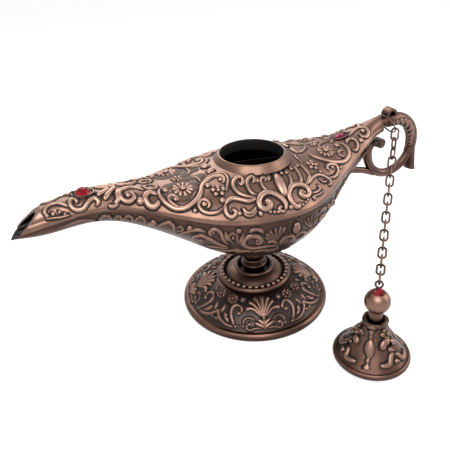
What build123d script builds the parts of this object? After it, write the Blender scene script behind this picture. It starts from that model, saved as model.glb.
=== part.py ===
from build123d import *
from collections import namedtuple
from math import asinh, atanh, cos, cosh, radians, sin, sinh, sqrt
import os

# A cast genie oil lamp with a spout, a looped handle, and a lid on a chain.
# Millimetres. The origin is the middle of the foot, on the table. The spout points to -X,
# the handle to +X, and the lid stands on the table on the near side, -Y.

os.makedirs("parts", exist_ok=True)

# Foot
FOOT_RADIUS = 41.0
FOOT_RIM_INSET = 1.4
FOOT_RIM_HEIGHT = 4.5
FOOT_BASE_WIDTH = 3.0
FOOT_GROOVE = 1.6
FOOT_DOME_BULGE = 1.9
FOOT_WALL = 2.2
BEAD_SEAT_RADIUS = 20.4
BEAD_SEAT_HEIGHT = 15.6
BEAD_SEAT_STEP = 1.2
BEAD_ROLL_WIDTH = 3.8
BEAD_ROLL_RISE = 1.8
CUP_RADIUS = 11.2
CUP_HEIGHT = 21.2
CUP_HOLLOW = 0.5
CUP_FLOOR = 18.4
CUP_LIP = 1.0
FOOT_PLATE = 2.8

# Stem between the foot and the belly
STEM_BORE_RADIUS = 2.2
STEM_BASE_RADIUS = 6.0
STEM_BASE_HEIGHT = 1.6
STEM_LOW_RING_RADIUS = 7.1
STEM_LOW_RING_HEIGHT = 23.6
STEM_HIGH_RING_RADIUS = 6.2
STEM_HIGH_RING_HEIGHT = 26.4
STEM_RING_HALF = 1.0
STEM_RING_RISE = 0.9
STEM_TOP_RADIUS = 6.6
STEM_TOP = 33.0
STEM_FLARE_HOLLOW = 0.9

# Foot screw, its washer and the boss in the belly that it screws into
SCREW_RADIUS = 1.9
SCREW_HEAD_RADIUS = 3.6
SCREW_HEAD_HEIGHT = 2.4
SCREW_SLOT_WIDTH = 0.9
SCREW_SLOT_DEPTH = 1.1
SCREW_DEPTH = 7.0
THREAD_CLEARANCE = 0.05
WASHER_RADIUS = 5.0
WASHER_THICKNESS = 0.8
BOSS_RADIUS = 4.6
BOSS_CAP = 2.0

# Body: one row for each cross-section, from the beak of the spout to the tail
Station = namedtuple("Station", "along half_width seam crown keel")
BEAK = Station(-120.0, 1.7, 79.0, 82.4, 77.2)
LIP = Station(-109.0, 5.2, 81.2, 88.2, 76.2)
NOZZLE = Station(-97.0, 6.8, 83.0, 90.0, 76.2)
SPOUT_GEM_SEAT = Station(-85.6, 8.2, 83.8, 90.4, 76.4)
THROAT = Station(-66.0, 11.4, 80.4, 88.4, 70.0)
FORE_FLARE = Station(-50.0, 20.4, 76.2, 86.0, 60.2)
FORE_SHOULDER = Station(-36.0, 28.8, 73.4, 85.6, 50.2)
FORE_BELLY = Station(-18.0, 35.4, 70.9, 87.2, 39.6)
BELLY = Station(0.0, 36.6, 69.6, 88.0, 34.8)
REAR_BELLY = Station(20.0, 32.6, 69.3, 86.6, 37.6)
REAR_FLARE = Station(38.0, 22.8, 71.0, 85.2, 47.6)
TAIL_GEM_SEAT = Station(54.6, 14.4, 75.6, 85.4, 62.4)
TAIL_ROOT = Station(68.0, 8.8, 80.4, 88.0, 78.6)
TAIL_END = Station(81.5, 4.6, 84.2, 91.8, 83.0)
STATIONS = [BEAK, LIP, NOZZLE, SPOUT_GEM_SEAT, THROAT, FORE_FLARE, FORE_SHOULDER, FORE_BELLY,
            BELLY, REAR_BELLY, REAR_FLARE, TAIL_GEM_SEAT, TAIL_ROOT, TAIL_END]
SHELL_WALL = 1.4
LIP_WALL_SHARE = 0.6
SEAM_GAP = 0.2
LOWER_INSET = 0.6
BAND_HEIGHT = 3.0
BAND_BULGE = 0.5
BAND_LEAN = 0.5
SHOULDER_WIDTH_SHARE = 0.56
SHOULDER_RISE_SHARE = 0.82
HAUNCH_ANGLE = 45.0
SPOUT_CUT_TOP = (-104.6, 89.1)
SPOUT_CUT_TIP = (-118.9, 77.6)

# Mouth and its collar
MOUTH_RADIUS = 16.0
COLLAR_LIP_RADIUS = 17.2
COLLAR_BASE_RADIUS = 19.9
COLLAR_TOP = 90.0
COLLAR_LIP_RISE = 0.5
COLLAR_BASE = 86.4
COLLAR_ROOT = 84.2

# Stones set in the upper shell
SPOUT_GEM_LENGTH = 9.0
SPOUT_GEM_WIDTH = 6.6
TAIL_GEM_LENGTH = 7.6
TAIL_GEM_WIDTH = 5.2
GEM_RISE = 1.5
GEM_SEAT_DEPTH = 0.8
GEM_CLEARANCE = 0.1
BEZEL_WALL = 1.0
BEZEL_RISE = 0.7
BEZEL_ROOT = 1.6
BEZEL_TAPER = 8.0

# Cast reliefs. A bow is part of a circle, seen from above on the upper shell and from the side
# on the lower one: the place of its middle, its radius, and where it starts and how far it turns.
Bow = namedtuple("Bow", "along off bend start sweep")
UPPER_BOWS = {
    "throat volute": Bow(-67.0, -6.2, 3.2, 60, 260),
    "fore crescent": Bow(-57.9, -10.6, 3.2, 30, 290),
    "daisy frame": Bow(-44.6, -12.4, 8.2, 190, 160),
    "hook": Bow(-27.0, -12.6, 5.6, 0, 170),
    "seam spiral": Bow(-36.8, -22.2, 3.0, 20, 270),
    "middle curl": Bow(-15.6, -22.0, 4.8, 80, 180),
    "volute a": Bow(-9.4, -30.2, 4.2, 10, 250),
    "volute b": Bow(8.6, -29.4, 4.2, -70, 250),
    "rear wave": Bow(23.4, -24.6, 4.6, 20, 140),
    "rear frame": Bow(40.4, -8.2, 9.0, 200, 130),
    "rear spiral": Bow(34.8, -18.6, 2.8, -20, 260),
    "tail hook": Bow(56.6, -8.0, 3.0, -110, 260),
}
LOWER_BOWS = {
    "fore arch": Bow(-54.0, 70.4, 3.2, 0, 180),
    "fore wave": Bow(-41.0, 61.0, 6.0, 30, 120),
    "fore volute": Bow(-34.6, 65.4, 3.8, -20, 170),
    "heart loop": Bow(-27.6, 64.4, 2.6, -60, 300),
    "middle arch": Bow(-18.6, 64.6, 3.8, 20, 140),
    "big volute": Bow(-15.4, 58.6, 4.4, -30, 250),
    "rear ring": Bow(7.4, 55.6, 2.6, -110, 290),
    "rear hook": Bow(23.6, 58.2, 2.8, -110, 280),
}
BOW_RADIUS = 1.1
BOW_FLATS = 6
BOW_STOPS = 6
Flower = namedtuple("Flower", "along off radius petals")
FLOWERS = (Flower(-42.5, -10.2, 5.2, 11), Flower(-28.5, -18.7, 3.7, 5), Flower(38.7, -9.1, 4.7, 11),
           Flower(24.2, -18.0, 3.4, 5))
PETAL_SHARE = 0.7
PETAL_RISE = 0.8
LEAF_PLACE = (0.4, -26.6)
LEAF_LENGTH = 11.6
LEAF_WIDTH = 5.0
CABOCHON_PLACE = (3.4, 62.6)
CABOCHON_SIZE = (4.2, 6.8)
RELIEF_SINK = 1.1

# Handle
LOOP_CENTRE = (92.0, 71.5)
LOOP_RADIUS = 16.4
LOOP_TOP_ANGLE = 90.0
TAIL_RING_RADIUS = 3.5
TAIL_RING_WIDTH = 0.9
NECK_RADIUS = 3.2
NECK_LENGTH = 5.6
ARM_ROOT_RADIUS = 3.9
ARM_END_RADIUS = 2.9
ARM_END_ANGLE = -25.0
ARM_STOPS = 6
LOWER_ARM_ANGLE = -12.0
LOWER_ARM_RADIUS = 2.5
LOWER_ARM_STOPS = 7
CURL_RADIUS = 5.0
CURL_SWEEP = 125.0
CURL_END_RADIUS = 1.7
CURL_STOPS = 4
VOLUTE_RADIUS = 2.8
VOLUTE_WIDTH = 4.6
STRUT_RADIUS = 1.9
STRUT_START = (49.0, 63.2)
STRUT_MIDDLE = (67.0, 62.6)
STRUT_END = (81.5, 57.2)
LEAF_TIP = (109.4, 54.0)
LEAF_HALF_WIDTH = 4.3
LEAF_HALF_DEPTH = 2.6
THUMB_LEAF_RADIUS = 3.5
THUMB_LEAF_WALL = 1.4
THUMB_LEAF_WIDTH = 5.2
THUMB_LEAF_SETBACK = 3.4
THUMB_LEAF_ROOT = 230.0
THUMB_LEAF_SWEEP = 235.0

# Lid, standing on the table
LID_PLACE = (24.2, -72.8)
SPIGOT_CLEARANCE = 0.4
SPIGOT_WALL = 1.3
SPIGOT_DEPTH = 2.2
LID_RIM_RADIUS = 18.7
LID_RIM_HEIGHT = 3.2
LID_RIM_INSET = 1.0
LID_CONE_RADIUS = 16.9
LID_CONE_HOLLOW = 1.0
LID_WALL = 1.6
CROWN_RADIUS = 6.1
CROWN_WAIST = 5.3
CROWN_HEIGHT = 25.3
CROWN_BAND = 2.4
CROWN_DEPTH = 2.0
CROWN_WALL = 0.9
LID_PLATE = 2.2
BALL_RADIUS = 6.1
BALL_HEIGHT = 35.5
BALL_NECK_RADIUS = 3.4
STUD_RADIUS = 1.4
STUD_DEPTH = 5.0
STUD_END_ROOM = 1.0
STUD_HEAD_RADIUS = 2.4
STUD_HEAD_HEIGHT = 1.4
KNOB_GEM_RADIUS = 3.1
KNOB_GEM_DEPTH = 1.0
KNOB_GEM_RISE = 1.0

# Chain, its ring round the handle's neck and its eye on the ball
LINK_COUNT = 17
WIRE = 1.1
WIRE_FLATS = 6
LINK_WIDTH = 4.8
LINK_GAP = 0.24
CHAIN_SLACK = 1.02
FIRST_TWIST = -60.0
TWISTED_LINKS = 4
QUARTER = 90.0
RING_RADIUS = 6.2
RING_WIRE = 0.9
RING_PLACE = 3.9
RING_CLEARANCE = 0.4
RING_LEAN = 32.0
RING_HANG = 30.0
EYE_RADIUS = 1.7
EYE_WIRE = 1.1
EYE_ELEVATION = 30.0
EYE_STAND = 0.15
EYE_SHANK_RADIUS = 0.45
EYE_SHANK_DEPTH = 2.6
CATENARY_REACH = 40.0
CATENARY_STEPS = 60

HALF_TURN = 180.0
UPRIGHT = (Align.CENTER, Align.CENTER, Align.MIN)


def save(name, solid):
    """Write one node."""
    export_step(solid, "parts/" + name + ".step")


def turned(*edges):
    """The solid that a closed outline of radius and height turns into about the Z axis."""
    return revolve(Plane.XZ * make_face(list(edges)), axis=Axis.Z)


def chain_of_lines(*points):
    """Straight edges from point to point."""
    return [Line(a, b) for a, b in zip(points, points[1:])]


def tube(stops):
    """A round bar through stops of place, direction and radius."""
    return loft([Plane(origin=place, x_dir=(0, 1, 0), z_dir=way) * Circle(radius)
                 for place, way, radius in stops])


def shares(count):
    """Even steps from 0 to 1."""
    return [step / count for step in range(count + 1)]


def round_stop(centre, bend, angle, radius):
    """A stop of a bar that runs clockwise round a bend in the lamp's middle plane."""
    turn = radians(angle)
    place = (centre[0] + bend * cos(turn), 0, centre[1] + bend * sin(turn))
    return place, (sin(turn), 0, -cos(turn)), radius


def section_plane(along):
    """The plane of a cross-section, with Y across and Z up."""
    return Plane(origin=(along, 0, 0), x_dir=(0, 1, 0), z_dir=(1, 0, 0))


def thinned(size):
    """A half width or depth less the wall, which thins towards the beak."""
    return size - min(SHELL_WALL, size * LIP_WALL_SHARE)


def flank_curve(side, base, crown):
    """The curve from one edge of the upper shell over its shoulders and crown to the other."""
    shoulder = (side * SHOULDER_WIDTH_SHARE, base + (crown - base) * SHOULDER_RISE_SHARE)
    return Spline((side, base), shoulder, (0, crown), (-shoulder[0], shoulder[1]), (-side, base))


def upper_section(row):
    """Outside of the upper shell: a rounded band above the seam, then the flank to the crown."""
    side = row.half_width
    band = min(BAND_HEIGHT, (row.crown - row.seam) / 2)
    lean = min(BAND_LEAN, side / 2)
    top = row.seam + band
    bulge = (side - lean / 2 + BAND_BULGE, row.seam + band / 2)
    edge = ThreePointArc((side, row.seam), bulge, (side - lean, top))
    outline = [Line((-side, row.seam), (side, row.seam)), edge, flank_curve(side - lean, top, row.crown),
               mirror(edge, about=Plane.YZ)]
    return section_plane(row.along) * make_face(outline)


def upper_hollow(row):
    """Inside of the upper shell, open at the seam."""
    side = thinned(row.half_width)
    base = row.seam - SEAM_GAP
    floor = Line((-side, base), (side, base))
    flank = flank_curve(side, base, row.seam + thinned(row.crown - row.seam))
    return section_plane(row.along) * make_face([floor, flank])


def bowl_section(along, side, top, depth):
    """A half-round section hung from a level line."""
    haunch = (side * cos(radians(HAUNCH_ANGLE)), top - depth * sin(radians(HAUNCH_ANGLE)))
    quarter = Spline((side, top), haunch, (0, top - depth), tangents=[(0, -1), (-1, 0)])
    outline = [Line((-side, top), (side, top)), quarter, mirror(quarter, about=Plane.YZ)]
    return section_plane(along) * make_face(outline)


def lower_section(row):
    """Outside of the lower shell."""
    top = row.seam - SEAM_GAP
    return bowl_section(row.along, row.half_width - LOWER_INSET, top, top - row.keel)


def lower_hollow(row):
    """Inside of the lower shell, open at the seam."""
    return bowl_section(row.along, thinned(row.half_width - LOWER_INSET), row.seam,
                        thinned(row.seam - row.keel))


def spout_cut(shape):
    """The shape with the end of the spout cut off along its slope."""
    top = Vector(SPOUT_CUT_TOP[0], 0, SPOUT_CUT_TOP[1])
    tip = Vector(SPOUT_CUT_TIP[0], 0, SPOUT_CUT_TIP[1])
    outward = Vector(0, 1, 0).cross(tip - top)
    return split(shape, Plane(origin=top, x_dir=(0, 1, 0), z_dir=outward), keep=Keep.BOTTOM)


def crown_plane(row):
    """The plane that touches the upper shell's crown at a station."""
    place = STATIONS.index(row)
    before, after = STATIONS[place - 1], STATIONS[place + 1]
    slope = (after.crown - before.crown) / (after.along - before.along)
    return Plane(origin=(row.along, 0, row.crown), x_dir=(1, 0, slope), z_dir=(-slope, 0, 1))


def bezel(row, length, width):
    """The raised oval frame round a stone."""
    oval = Ellipse(length / 2 + BEZEL_WALL, width / 2 + BEZEL_WALL)
    root = Pos(0, 0, -BEZEL_ROOT) * oval
    return crown_plane(row) * extrude(root, BEZEL_ROOT + BEZEL_RISE, taper=BEZEL_TAPER)


def gem_pocket(row, length, width):
    """The recess that a stone sits in."""
    oval = Ellipse(length / 2 + GEM_CLEARANCE, width / 2 + GEM_CLEARANCE)
    return crown_plane(row) * extrude(Pos(0, 0, -GEM_SEAT_DEPTH) * oval, GEM_SEAT_DEPTH + GEM_RISE)


def gem(row, length, width):
    """An oval stone: a straight girdle with a domed top."""
    girdle = extrude(Pos(0, 0, -GEM_SEAT_DEPTH) * Ellipse(length / 2, width / 2), GEM_SEAT_DEPTH)
    dome = scale(Sphere(1, arc_size1=0, align=UPRIGHT), by=(length / 2, width / 2, GEM_RISE))
    return crown_plane(row) * (girdle + dome)


def collar():
    """The smooth low cone round the mouth."""
    lip_top = COLLAR_TOP - COLLAR_LIP_RISE
    lip = ThreePointArc((MOUTH_RADIUS, lip_top), ((MOUTH_RADIUS + COLLAR_LIP_RADIUS) / 2, COLLAR_TOP),
                        (COLLAR_LIP_RADIUS, lip_top))
    sides = chain_of_lines((COLLAR_LIP_RADIUS, lip_top), (COLLAR_BASE_RADIUS, COLLAR_BASE),
                           (COLLAR_BASE_RADIUS, COLLAR_ROOT), (MOUTH_RADIUS, COLLAR_ROOT),
                           (MOUTH_RADIUS, lip_top))
    return turned(lip, *sides)


def from_above(along, off):
    """A line straight down on the upper shell."""
    return Axis((along, off, 2 * COLLAR_TOP), (0, 0, -1))


def from_side(along, height):
    """A level line on the near side of the lower shell."""
    return Axis((along, -2 * BELLY.half_width, height), (0, 1, 0))


def met(outside, line):
    """Where a line first meets a casting's outside, and the normal there."""
    hits = [(Vector(*spot.center()), face) for face in outside.faces_intersected_by_axis(line)
            for spot in face.intersect(line) or []]
    place, face = min(hits, key=lambda hit: (hit[0] - line.position).length)
    return place, face.normal_at(place)


def tangent_plane(outside, line):
    """The plane that lies on a casting where a line meets it, sunk a little into the wall."""
    place, normal = met(outside, line)
    return Plane(origin=place - normal * RELIEF_SINK, x_dir=(normal.Z, 0, -normal.X), z_dir=normal)


def scroll_bow(outside, look, row):
    """A bar with flats that lies on a casting along one bow of a scroll."""
    turns = [radians(row.start + row.sweep * share) for share in shares(BOW_STOPS)]
    spots = [met(outside, look(row.along + row.bend * cos(turn), row.off + row.bend * sin(turn)))
             for turn in turns]
    line = Spline(*[place for place, normal in spots])
    start = Plane(origin=line @ 0, x_dir=spots[0][1], z_dir=line % 0)
    return sweep(start * RegularPolygon(BOW_RADIUS, BOW_FLATS), path=line)


def flower(outside, row):
    """A flower of pointed petals."""
    corners = []
    for index in range(2 * row.petals):
        reach = row.radius * (PETAL_SHARE if index % 2 else 1)
        turn = radians(index * HALF_TURN / row.petals)
        corners.append((reach * cos(turn), reach * sin(turn)))
    disc = extrude(make_face(Polyline(*corners, close=True)), RELIEF_SINK + PETAL_RISE)
    return tangent_plane(outside, from_above(row.along, row.off)) * disc


def almond_leaf(outside):
    """The leaf below the collar, pointed at both ends."""
    tip = LEAF_LENGTH / 2
    side = ThreePointArc((0, -tip), (LEAF_WIDTH / 2, 0), (0, tip))
    leaf = make_face([side, mirror(side, about=Plane.YZ)])
    return tangent_plane(outside, from_above(*LEAF_PLACE)) * extrude(leaf, RELIEF_SINK + PETAL_RISE)


def cabochon(outside):
    """The oval boss on the belly."""
    oval = Ellipse(CABOCHON_SIZE[0] / 2, CABOCHON_SIZE[1] / 2)
    return tangent_plane(outside, from_side(*CABOCHON_PLACE)) * extrude(oval, RELIEF_SINK + PETAL_RISE)


def both_sides(outside, reliefs):
    """Reliefs of the near side that lie flush on a casting, and the far side's copies."""
    near = [relief - outside for relief in reliefs]
    return Compound(children=near + [mirror(relief, about=Plane.XZ) for relief in near])


def make_upper_reliefs(outside):
    """The main reliefs of the upper shell: scrolls, flowers and a leaf."""
    reliefs = [scroll_bow(outside, from_above, row) for row in UPPER_BOWS.values()]
    reliefs += [flower(outside, row) for row in FLOWERS]
    return both_sides(outside, reliefs + [almond_leaf(outside)])


def make_lower_reliefs(outside):
    """The main reliefs of the lower shell: scrolls and an oval boss."""
    reliefs = [scroll_bow(outside, from_side, row) for row in LOWER_BOWS.values()]
    return both_sides(outside, reliefs + [cabochon(outside)])


def make_upper_shell(outside):
    """The upper casting, with its collar and the frames of the two stones."""
    hollow = loft([upper_hollow(row) for row in STATIONS[:STATIONS.index(TAIL_GEM_SEAT) + 1]])
    mouth = Pos(0, 0, COLLAR_ROOT) * Cylinder(MOUTH_RADIUS, 2 * (COLLAR_TOP - COLLAR_ROOT))
    shell = outside - hollow
    for row, length, width in ((SPOUT_GEM_SEAT, SPOUT_GEM_LENGTH, SPOUT_GEM_WIDTH),
                               (TAIL_GEM_SEAT, TAIL_GEM_LENGTH, TAIL_GEM_WIDTH)):
        shell = shell + bezel(row, length, width) - gem_pocket(row, length, width)
    return spout_cut(shell + collar() - mouth)


def make_lower_shell(outside):
    """The lower casting, with a pad for the stem and a tapped boss for the foot screw."""
    hollow = loft([lower_hollow(row) for row in STATIONS[:STATIONS.index(TAIL_GEM_SEAT) + 1]])
    pad = Pos(0, 0, STEM_TOP) * Cylinder(STEM_TOP_RADIUS, BELLY.keel + SHELL_WALL - STEM_TOP, align=UPRIGHT)
    boss = Pos(0, 0, STEM_TOP) * Cylinder(BOSS_RADIUS, SCREW_DEPTH + 2 * BOSS_CAP, align=UPRIGHT)
    thread = Pos(0, 0, STEM_TOP) * Cylinder(SCREW_RADIUS + THREAD_CLEARANCE, SCREW_DEPTH + BOSS_CAP,
                                            align=UPRIGHT)
    return spout_cut(outside - hollow) + pad + boss - thread


def make_foot():
    """The domed foot, hollow below, with a rolled rim, a ring for beads and a cup for the stem."""
    base = FOOT_RADIUS - FOOT_RIM_INSET
    groove = base - FOOT_GROOVE
    roll_end = BEAD_SEAT_RADIUS - BEAD_ROLL_WIDTH
    seat_top = BEAD_SEAT_HEIGHT + BEAD_SEAT_STEP
    plate = CUP_FLOOR - FOOT_PLATE
    cup = CUP_RADIUS - CUP_LIP
    rim = ThreePointArc((base, 0), (FOOT_RADIUS, FOOT_RIM_HEIGHT / 2), (base, FOOT_RIM_HEIGHT))
    dome = SagittaArc((groove, FOOT_RIM_HEIGHT), (BEAD_SEAT_RADIUS, BEAD_SEAT_HEIGHT), -FOOT_DOME_BULGE)
    roll = ThreePointArc((BEAD_SEAT_RADIUS, seat_top),
                         (BEAD_SEAT_RADIUS - BEAD_ROLL_WIDTH / 2, seat_top + BEAD_ROLL_RISE),
                         (roll_end, seat_top + BEAD_ROLL_RISE / 2))
    cone = SagittaArc((roll_end, seat_top + BEAD_ROLL_RISE / 2), (CUP_RADIUS, CUP_HEIGHT), -CUP_HOLLOW)
    lip = ThreePointArc((CUP_RADIUS, CUP_HEIGHT), (CUP_RADIUS - CUP_LIP / 2, CUP_HEIGHT + CUP_LIP / 2),
                        (cup, CUP_HEIGHT))
    inner_top = (BEAD_SEAT_RADIUS - FOOT_WALL / 2, BEAD_SEAT_HEIGHT - FOOT_WALL)
    inner_foot = (groove - FOOT_WALL, FOOT_RIM_HEIGHT - FOOT_WALL / 2)
    under = SagittaArc(inner_top, inner_foot, FOOT_DOME_BULGE)
    return turned(
        rim, Line((base, FOOT_RIM_HEIGHT), (groove, FOOT_RIM_HEIGHT)), dome,
        Line((BEAD_SEAT_RADIUS, BEAD_SEAT_HEIGHT), (BEAD_SEAT_RADIUS, seat_top)), roll, cone, lip,
        *chain_of_lines((cup, CUP_HEIGHT), (cup, CUP_FLOOR), (STEM_BORE_RADIUS, CUP_FLOOR),
                        (STEM_BORE_RADIUS, plate), (cup, plate), inner_top),
        under, *chain_of_lines(inner_foot, (base - FOOT_BASE_WIDTH, 0), (base, 0)))


def make_stem():
    """The turned stem with its two rings."""
    def ring(radius, height):
        return ThreePointArc((radius - STEM_RING_RISE, height - STEM_RING_HALF), (radius, height),
                             (radius - STEM_RING_RISE, height + STEM_RING_HALF))
    low = ring(STEM_LOW_RING_RADIUS, STEM_LOW_RING_HEIGHT)
    high = ring(STEM_HIGH_RING_RADIUS, STEM_HIGH_RING_HEIGHT)
    base = (STEM_BASE_RADIUS, CUP_FLOOR + STEM_BASE_HEIGHT)
    flare = SagittaArc(high @ 1, (STEM_TOP_RADIUS, STEM_TOP), -STEM_FLARE_HOLLOW)
    return turned(
        *chain_of_lines((STEM_TOP_RADIUS, STEM_TOP), (STEM_BORE_RADIUS, STEM_TOP),
                        (STEM_BORE_RADIUS, CUP_FLOOR), (STEM_BASE_RADIUS, CUP_FLOOR), base),
        Line(base, low @ 0), low, Line(low @ 1, high @ 0), high, flare)


def make_foot_screw():
    """A slotted screw, up through the foot and the stem into the belly."""
    seat = CUP_FLOOR - FOOT_PLATE - WASHER_THICKNESS
    shank = Pos(0, 0, seat) * Cylinder(SCREW_RADIUS, STEM_TOP + SCREW_DEPTH - seat, align=UPRIGHT)
    head = Pos(0, 0, seat - SCREW_HEAD_HEIGHT) * Cylinder(SCREW_HEAD_RADIUS, SCREW_HEAD_HEIGHT, align=UPRIGHT)
    slot = Pos(0, 0, seat - SCREW_HEAD_HEIGHT) * Box(2 * SCREW_HEAD_RADIUS, SCREW_SLOT_WIDTH,
                                                     2 * SCREW_SLOT_DEPTH)
    return shank + head - slot


def make_foot_washer():
    """The washer under the foot's plate."""
    ring = Circle(WASHER_RADIUS) - Circle(STEM_BORE_RADIUS)
    return extrude(Pos(0, 0, CUP_FLOOR - FOOT_PLATE - WASHER_THICKNESS) * ring, WASHER_THICKNESS)


def round_stop(centre, bend, angle, radius):
    """A stop of a bar that runs clockwise round a bend."""
    turn = radians(angle)
    place = (centre[0] + bend * cos(turn), 0, centre[1] + bend * sin(turn))
    return place, (sin(turn), 0, -cos(turn)), radius


def make_handle(belly):
    """The handle: a looped arm, a lower arm that curls, a strut to the belly and two leaves."""
    top = LOOP_CENTRE[1] + LOOP_RADIUS
    along = (1, 0, 0)
    across = (0, 1, 0)
    root = Plane(origin=(TAIL_END.along, 0, top), x_dir=across, z_dir=along)
    ring = root * extrude(Circle(TAIL_RING_RADIUS), TAIL_RING_WIDTH)
    neck = root * extrude(Circle(NECK_RADIUS), TAIL_RING_WIDTH + NECK_LENGTH)

    arm_sweep = LOOP_TOP_ANGLE - ARM_END_ANGLE
    thinning = ARM_ROOT_RADIUS - ARM_END_RADIUS
    arm = tube([(root.origin + Vector(TAIL_RING_WIDTH + NECK_LENGTH / 2, 0, 0), along, NECK_RADIUS)]
               + [round_stop(LOOP_CENTRE, LOOP_RADIUS, LOOP_TOP_ANGLE - share * arm_sweep,
                             ARM_ROOT_RADIUS - share * thinning) for share in shares(ARM_STOPS)])

    lower_sweep = HALF_TURN + LOWER_ARM_ANGLE
    curl_centre = (LOOP_CENTRE[0] - LOOP_RADIUS + CURL_RADIUS, LOOP_CENTRE[1])
    narrowing = LOWER_ARM_RADIUS - CURL_END_RADIUS
    curl = [round_stop(curl_centre, CURL_RADIUS, HALF_TURN - share * CURL_SWEEP,
                       LOWER_ARM_RADIUS - share * narrowing)
            for share in shares(CURL_STOPS)]
    lower_arm = tube([round_stop(LOOP_CENTRE, LOOP_RADIUS, LOWER_ARM_ANGLE - share * lower_sweep,
                                 LOWER_ARM_RADIUS) for share in shares(LOWER_ARM_STOPS)] + curl[1:])
    volute_place = Vector(*curl[-1][0])
    volute = Plane(origin=volute_place, x_dir=along, z_dir=across) * Cylinder(VOLUTE_RADIUS, VOLUTE_WIDTH)

    strut_path = Plane.XZ * ThreePointArc(STRUT_START, STRUT_MIDDLE, STRUT_END)
    strut_round = Plane(origin=strut_path @ 0, x_dir=across, z_dir=strut_path % 0) * Circle(STRUT_RADIUS)
    strut = sweep(strut_round, path=strut_path) - belly

    root_place, leaf_way, leaf_root = round_stop(LOOP_CENTRE, LOOP_RADIUS, 0, ARM_END_RADIUS)
    tip_place = (LEAF_TIP[0], 0, LEAF_TIP[1])
    half_place = (Vector(*root_place) + Vector(*tip_place)) / 2
    leaf = loft([Plane(origin=root_place, x_dir=across, z_dir=leaf_way) * Circle(leaf_root),
                 Plane(origin=half_place, x_dir=across, z_dir=leaf_way) * Ellipse(leaf_root, LEAF_HALF_DEPTH),
                 Plane(origin=tip_place, x_dir=across, z_dir=leaf_way)
                 * Ellipse(LEAF_HALF_WIDTH, LEAF_HALF_DEPTH)])

    thumb_centre = (LOOP_CENTRE[0] - THUMB_LEAF_SETBACK, top + ARM_ROOT_RADIUS)
    start_angle = THUMB_LEAF_ROOT - THUMB_LEAF_SWEEP
    outer = CenterArc(thumb_centre, THUMB_LEAF_RADIUS, start_angle, THUMB_LEAF_SWEEP)
    inner = CenterArc(thumb_centre, THUMB_LEAF_RADIUS - THUMB_LEAF_WALL, start_angle, THUMB_LEAF_SWEEP)
    crescent = make_face([outer, inner, Line(outer @ 0, inner @ 0), Line(outer @ 1, inner @ 1)])
    thumb_leaf = extrude(Plane.XZ * crescent, THUMB_LEAF_WIDTH / 2, both=True)
    return ring + neck + arm + lower_arm + volute + strut + leaf + thumb_leaf


def make_lid_shell():
    """The lid: a spigot for the mouth, a rolled rim, a hollow cone and a crown that holds the ball."""
    spigot = MOUTH_RADIUS - SPIGOT_CLEARANCE
    bore = spigot - SPIGOT_WALL
    rim_top = SPIGOT_DEPTH + LID_RIM_HEIGHT
    rim_edge = LID_RIM_RADIUS - LID_RIM_INSET
    waist_height = CROWN_HEIGHT - CROWN_BAND
    floor = CROWN_HEIGHT - CROWN_DEPTH
    plate = floor - LID_PLATE
    rim = ThreePointArc((rim_edge, SPIGOT_DEPTH), (LID_RIM_RADIUS, SPIGOT_DEPTH + LID_RIM_HEIGHT / 2),
                        (rim_edge, rim_top))
    cone = SagittaArc((LID_CONE_RADIUS, rim_top), (CROWN_WAIST, waist_height), LID_CONE_HOLLOW)
    band = ThreePointArc((CROWN_WAIST, waist_height), (CROWN_RADIUS, CROWN_HEIGHT - CROWN_BAND / 2),
                         (CROWN_WAIST, CROWN_HEIGHT))
    recess = CROWN_WAIST - CROWN_WALL
    throat = CROWN_WAIST - LID_WALL
    under = SagittaArc((throat, plate), (bore, rim_top), -LID_CONE_HOLLOW)
    stud_bore = STUD_RADIUS + THREAD_CLEARANCE
    lid = turned(
        Line((spigot, SPIGOT_DEPTH), (rim_edge, SPIGOT_DEPTH)), rim,
        Line((rim_edge, rim_top), (LID_CONE_RADIUS, rim_top)), cone, band,
        *chain_of_lines((CROWN_WAIST, CROWN_HEIGHT), (recess, CROWN_HEIGHT), (recess, floor),
                        (stud_bore, floor), (stud_bore, plate), (throat, plate)),
        under, *chain_of_lines((bore, rim_top), (bore, 0), (spigot, 0), (spigot, SPIGOT_DEPTH)))
    return lid


def make_knob_ball(eye_way):
    """The ball of the knob, with its neck, a pocket for the stone and holes for the stud and the eye."""
    centre = Vector(0, 0, BALL_HEIGHT)
    floor = CROWN_HEIGHT - CROWN_DEPTH
    neck = Pos(0, 0, floor) * Cylinder(BALL_NECK_RADIUS, BALL_HEIGHT - floor, align=UPRIGHT)
    stud_hole = Pos(0, 0, floor) * Cylinder(STUD_RADIUS + THREAD_CLEARANCE, STUD_DEPTH + STUD_END_ROOM,
                                            align=UPRIGHT)
    pocket = Pos(0, 0, knob_gem_seat()) * Cylinder(KNOB_GEM_RADIUS + GEM_CLEARANCE, BALL_RADIUS,
                                                   align=UPRIGHT)
    eye_hole = Plane(origin=centre, z_dir=eye_way) * (
        Pos(0, 0, BALL_RADIUS - EYE_SHANK_DEPTH) * Cylinder(EYE_SHANK_RADIUS + THREAD_CLEARANCE, BALL_RADIUS,
                                                            align=UPRIGHT))
    ball = Pos(centre) * Sphere(BALL_RADIUS)
    return ball + neck - stud_hole - pocket - eye_hole


def knob_gem_seat():
    """Height of the floor of the pocket on top of the ball."""
    return BALL_HEIGHT + sqrt(BALL_RADIUS ** 2 - KNOB_GEM_RADIUS ** 2) - KNOB_GEM_DEPTH


def make_knob_gem():
    """The round stone on top of the ball."""
    girdle = Cylinder(KNOB_GEM_RADIUS, KNOB_GEM_DEPTH, align=UPRIGHT)
    dome = scale(Sphere(1, arc_size1=0, align=UPRIGHT), by=(KNOB_GEM_RADIUS, KNOB_GEM_RADIUS, KNOB_GEM_RISE))
    return Pos(0, 0, knob_gem_seat()) * (girdle + Pos(0, 0, KNOB_GEM_DEPTH) * dome)


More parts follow.
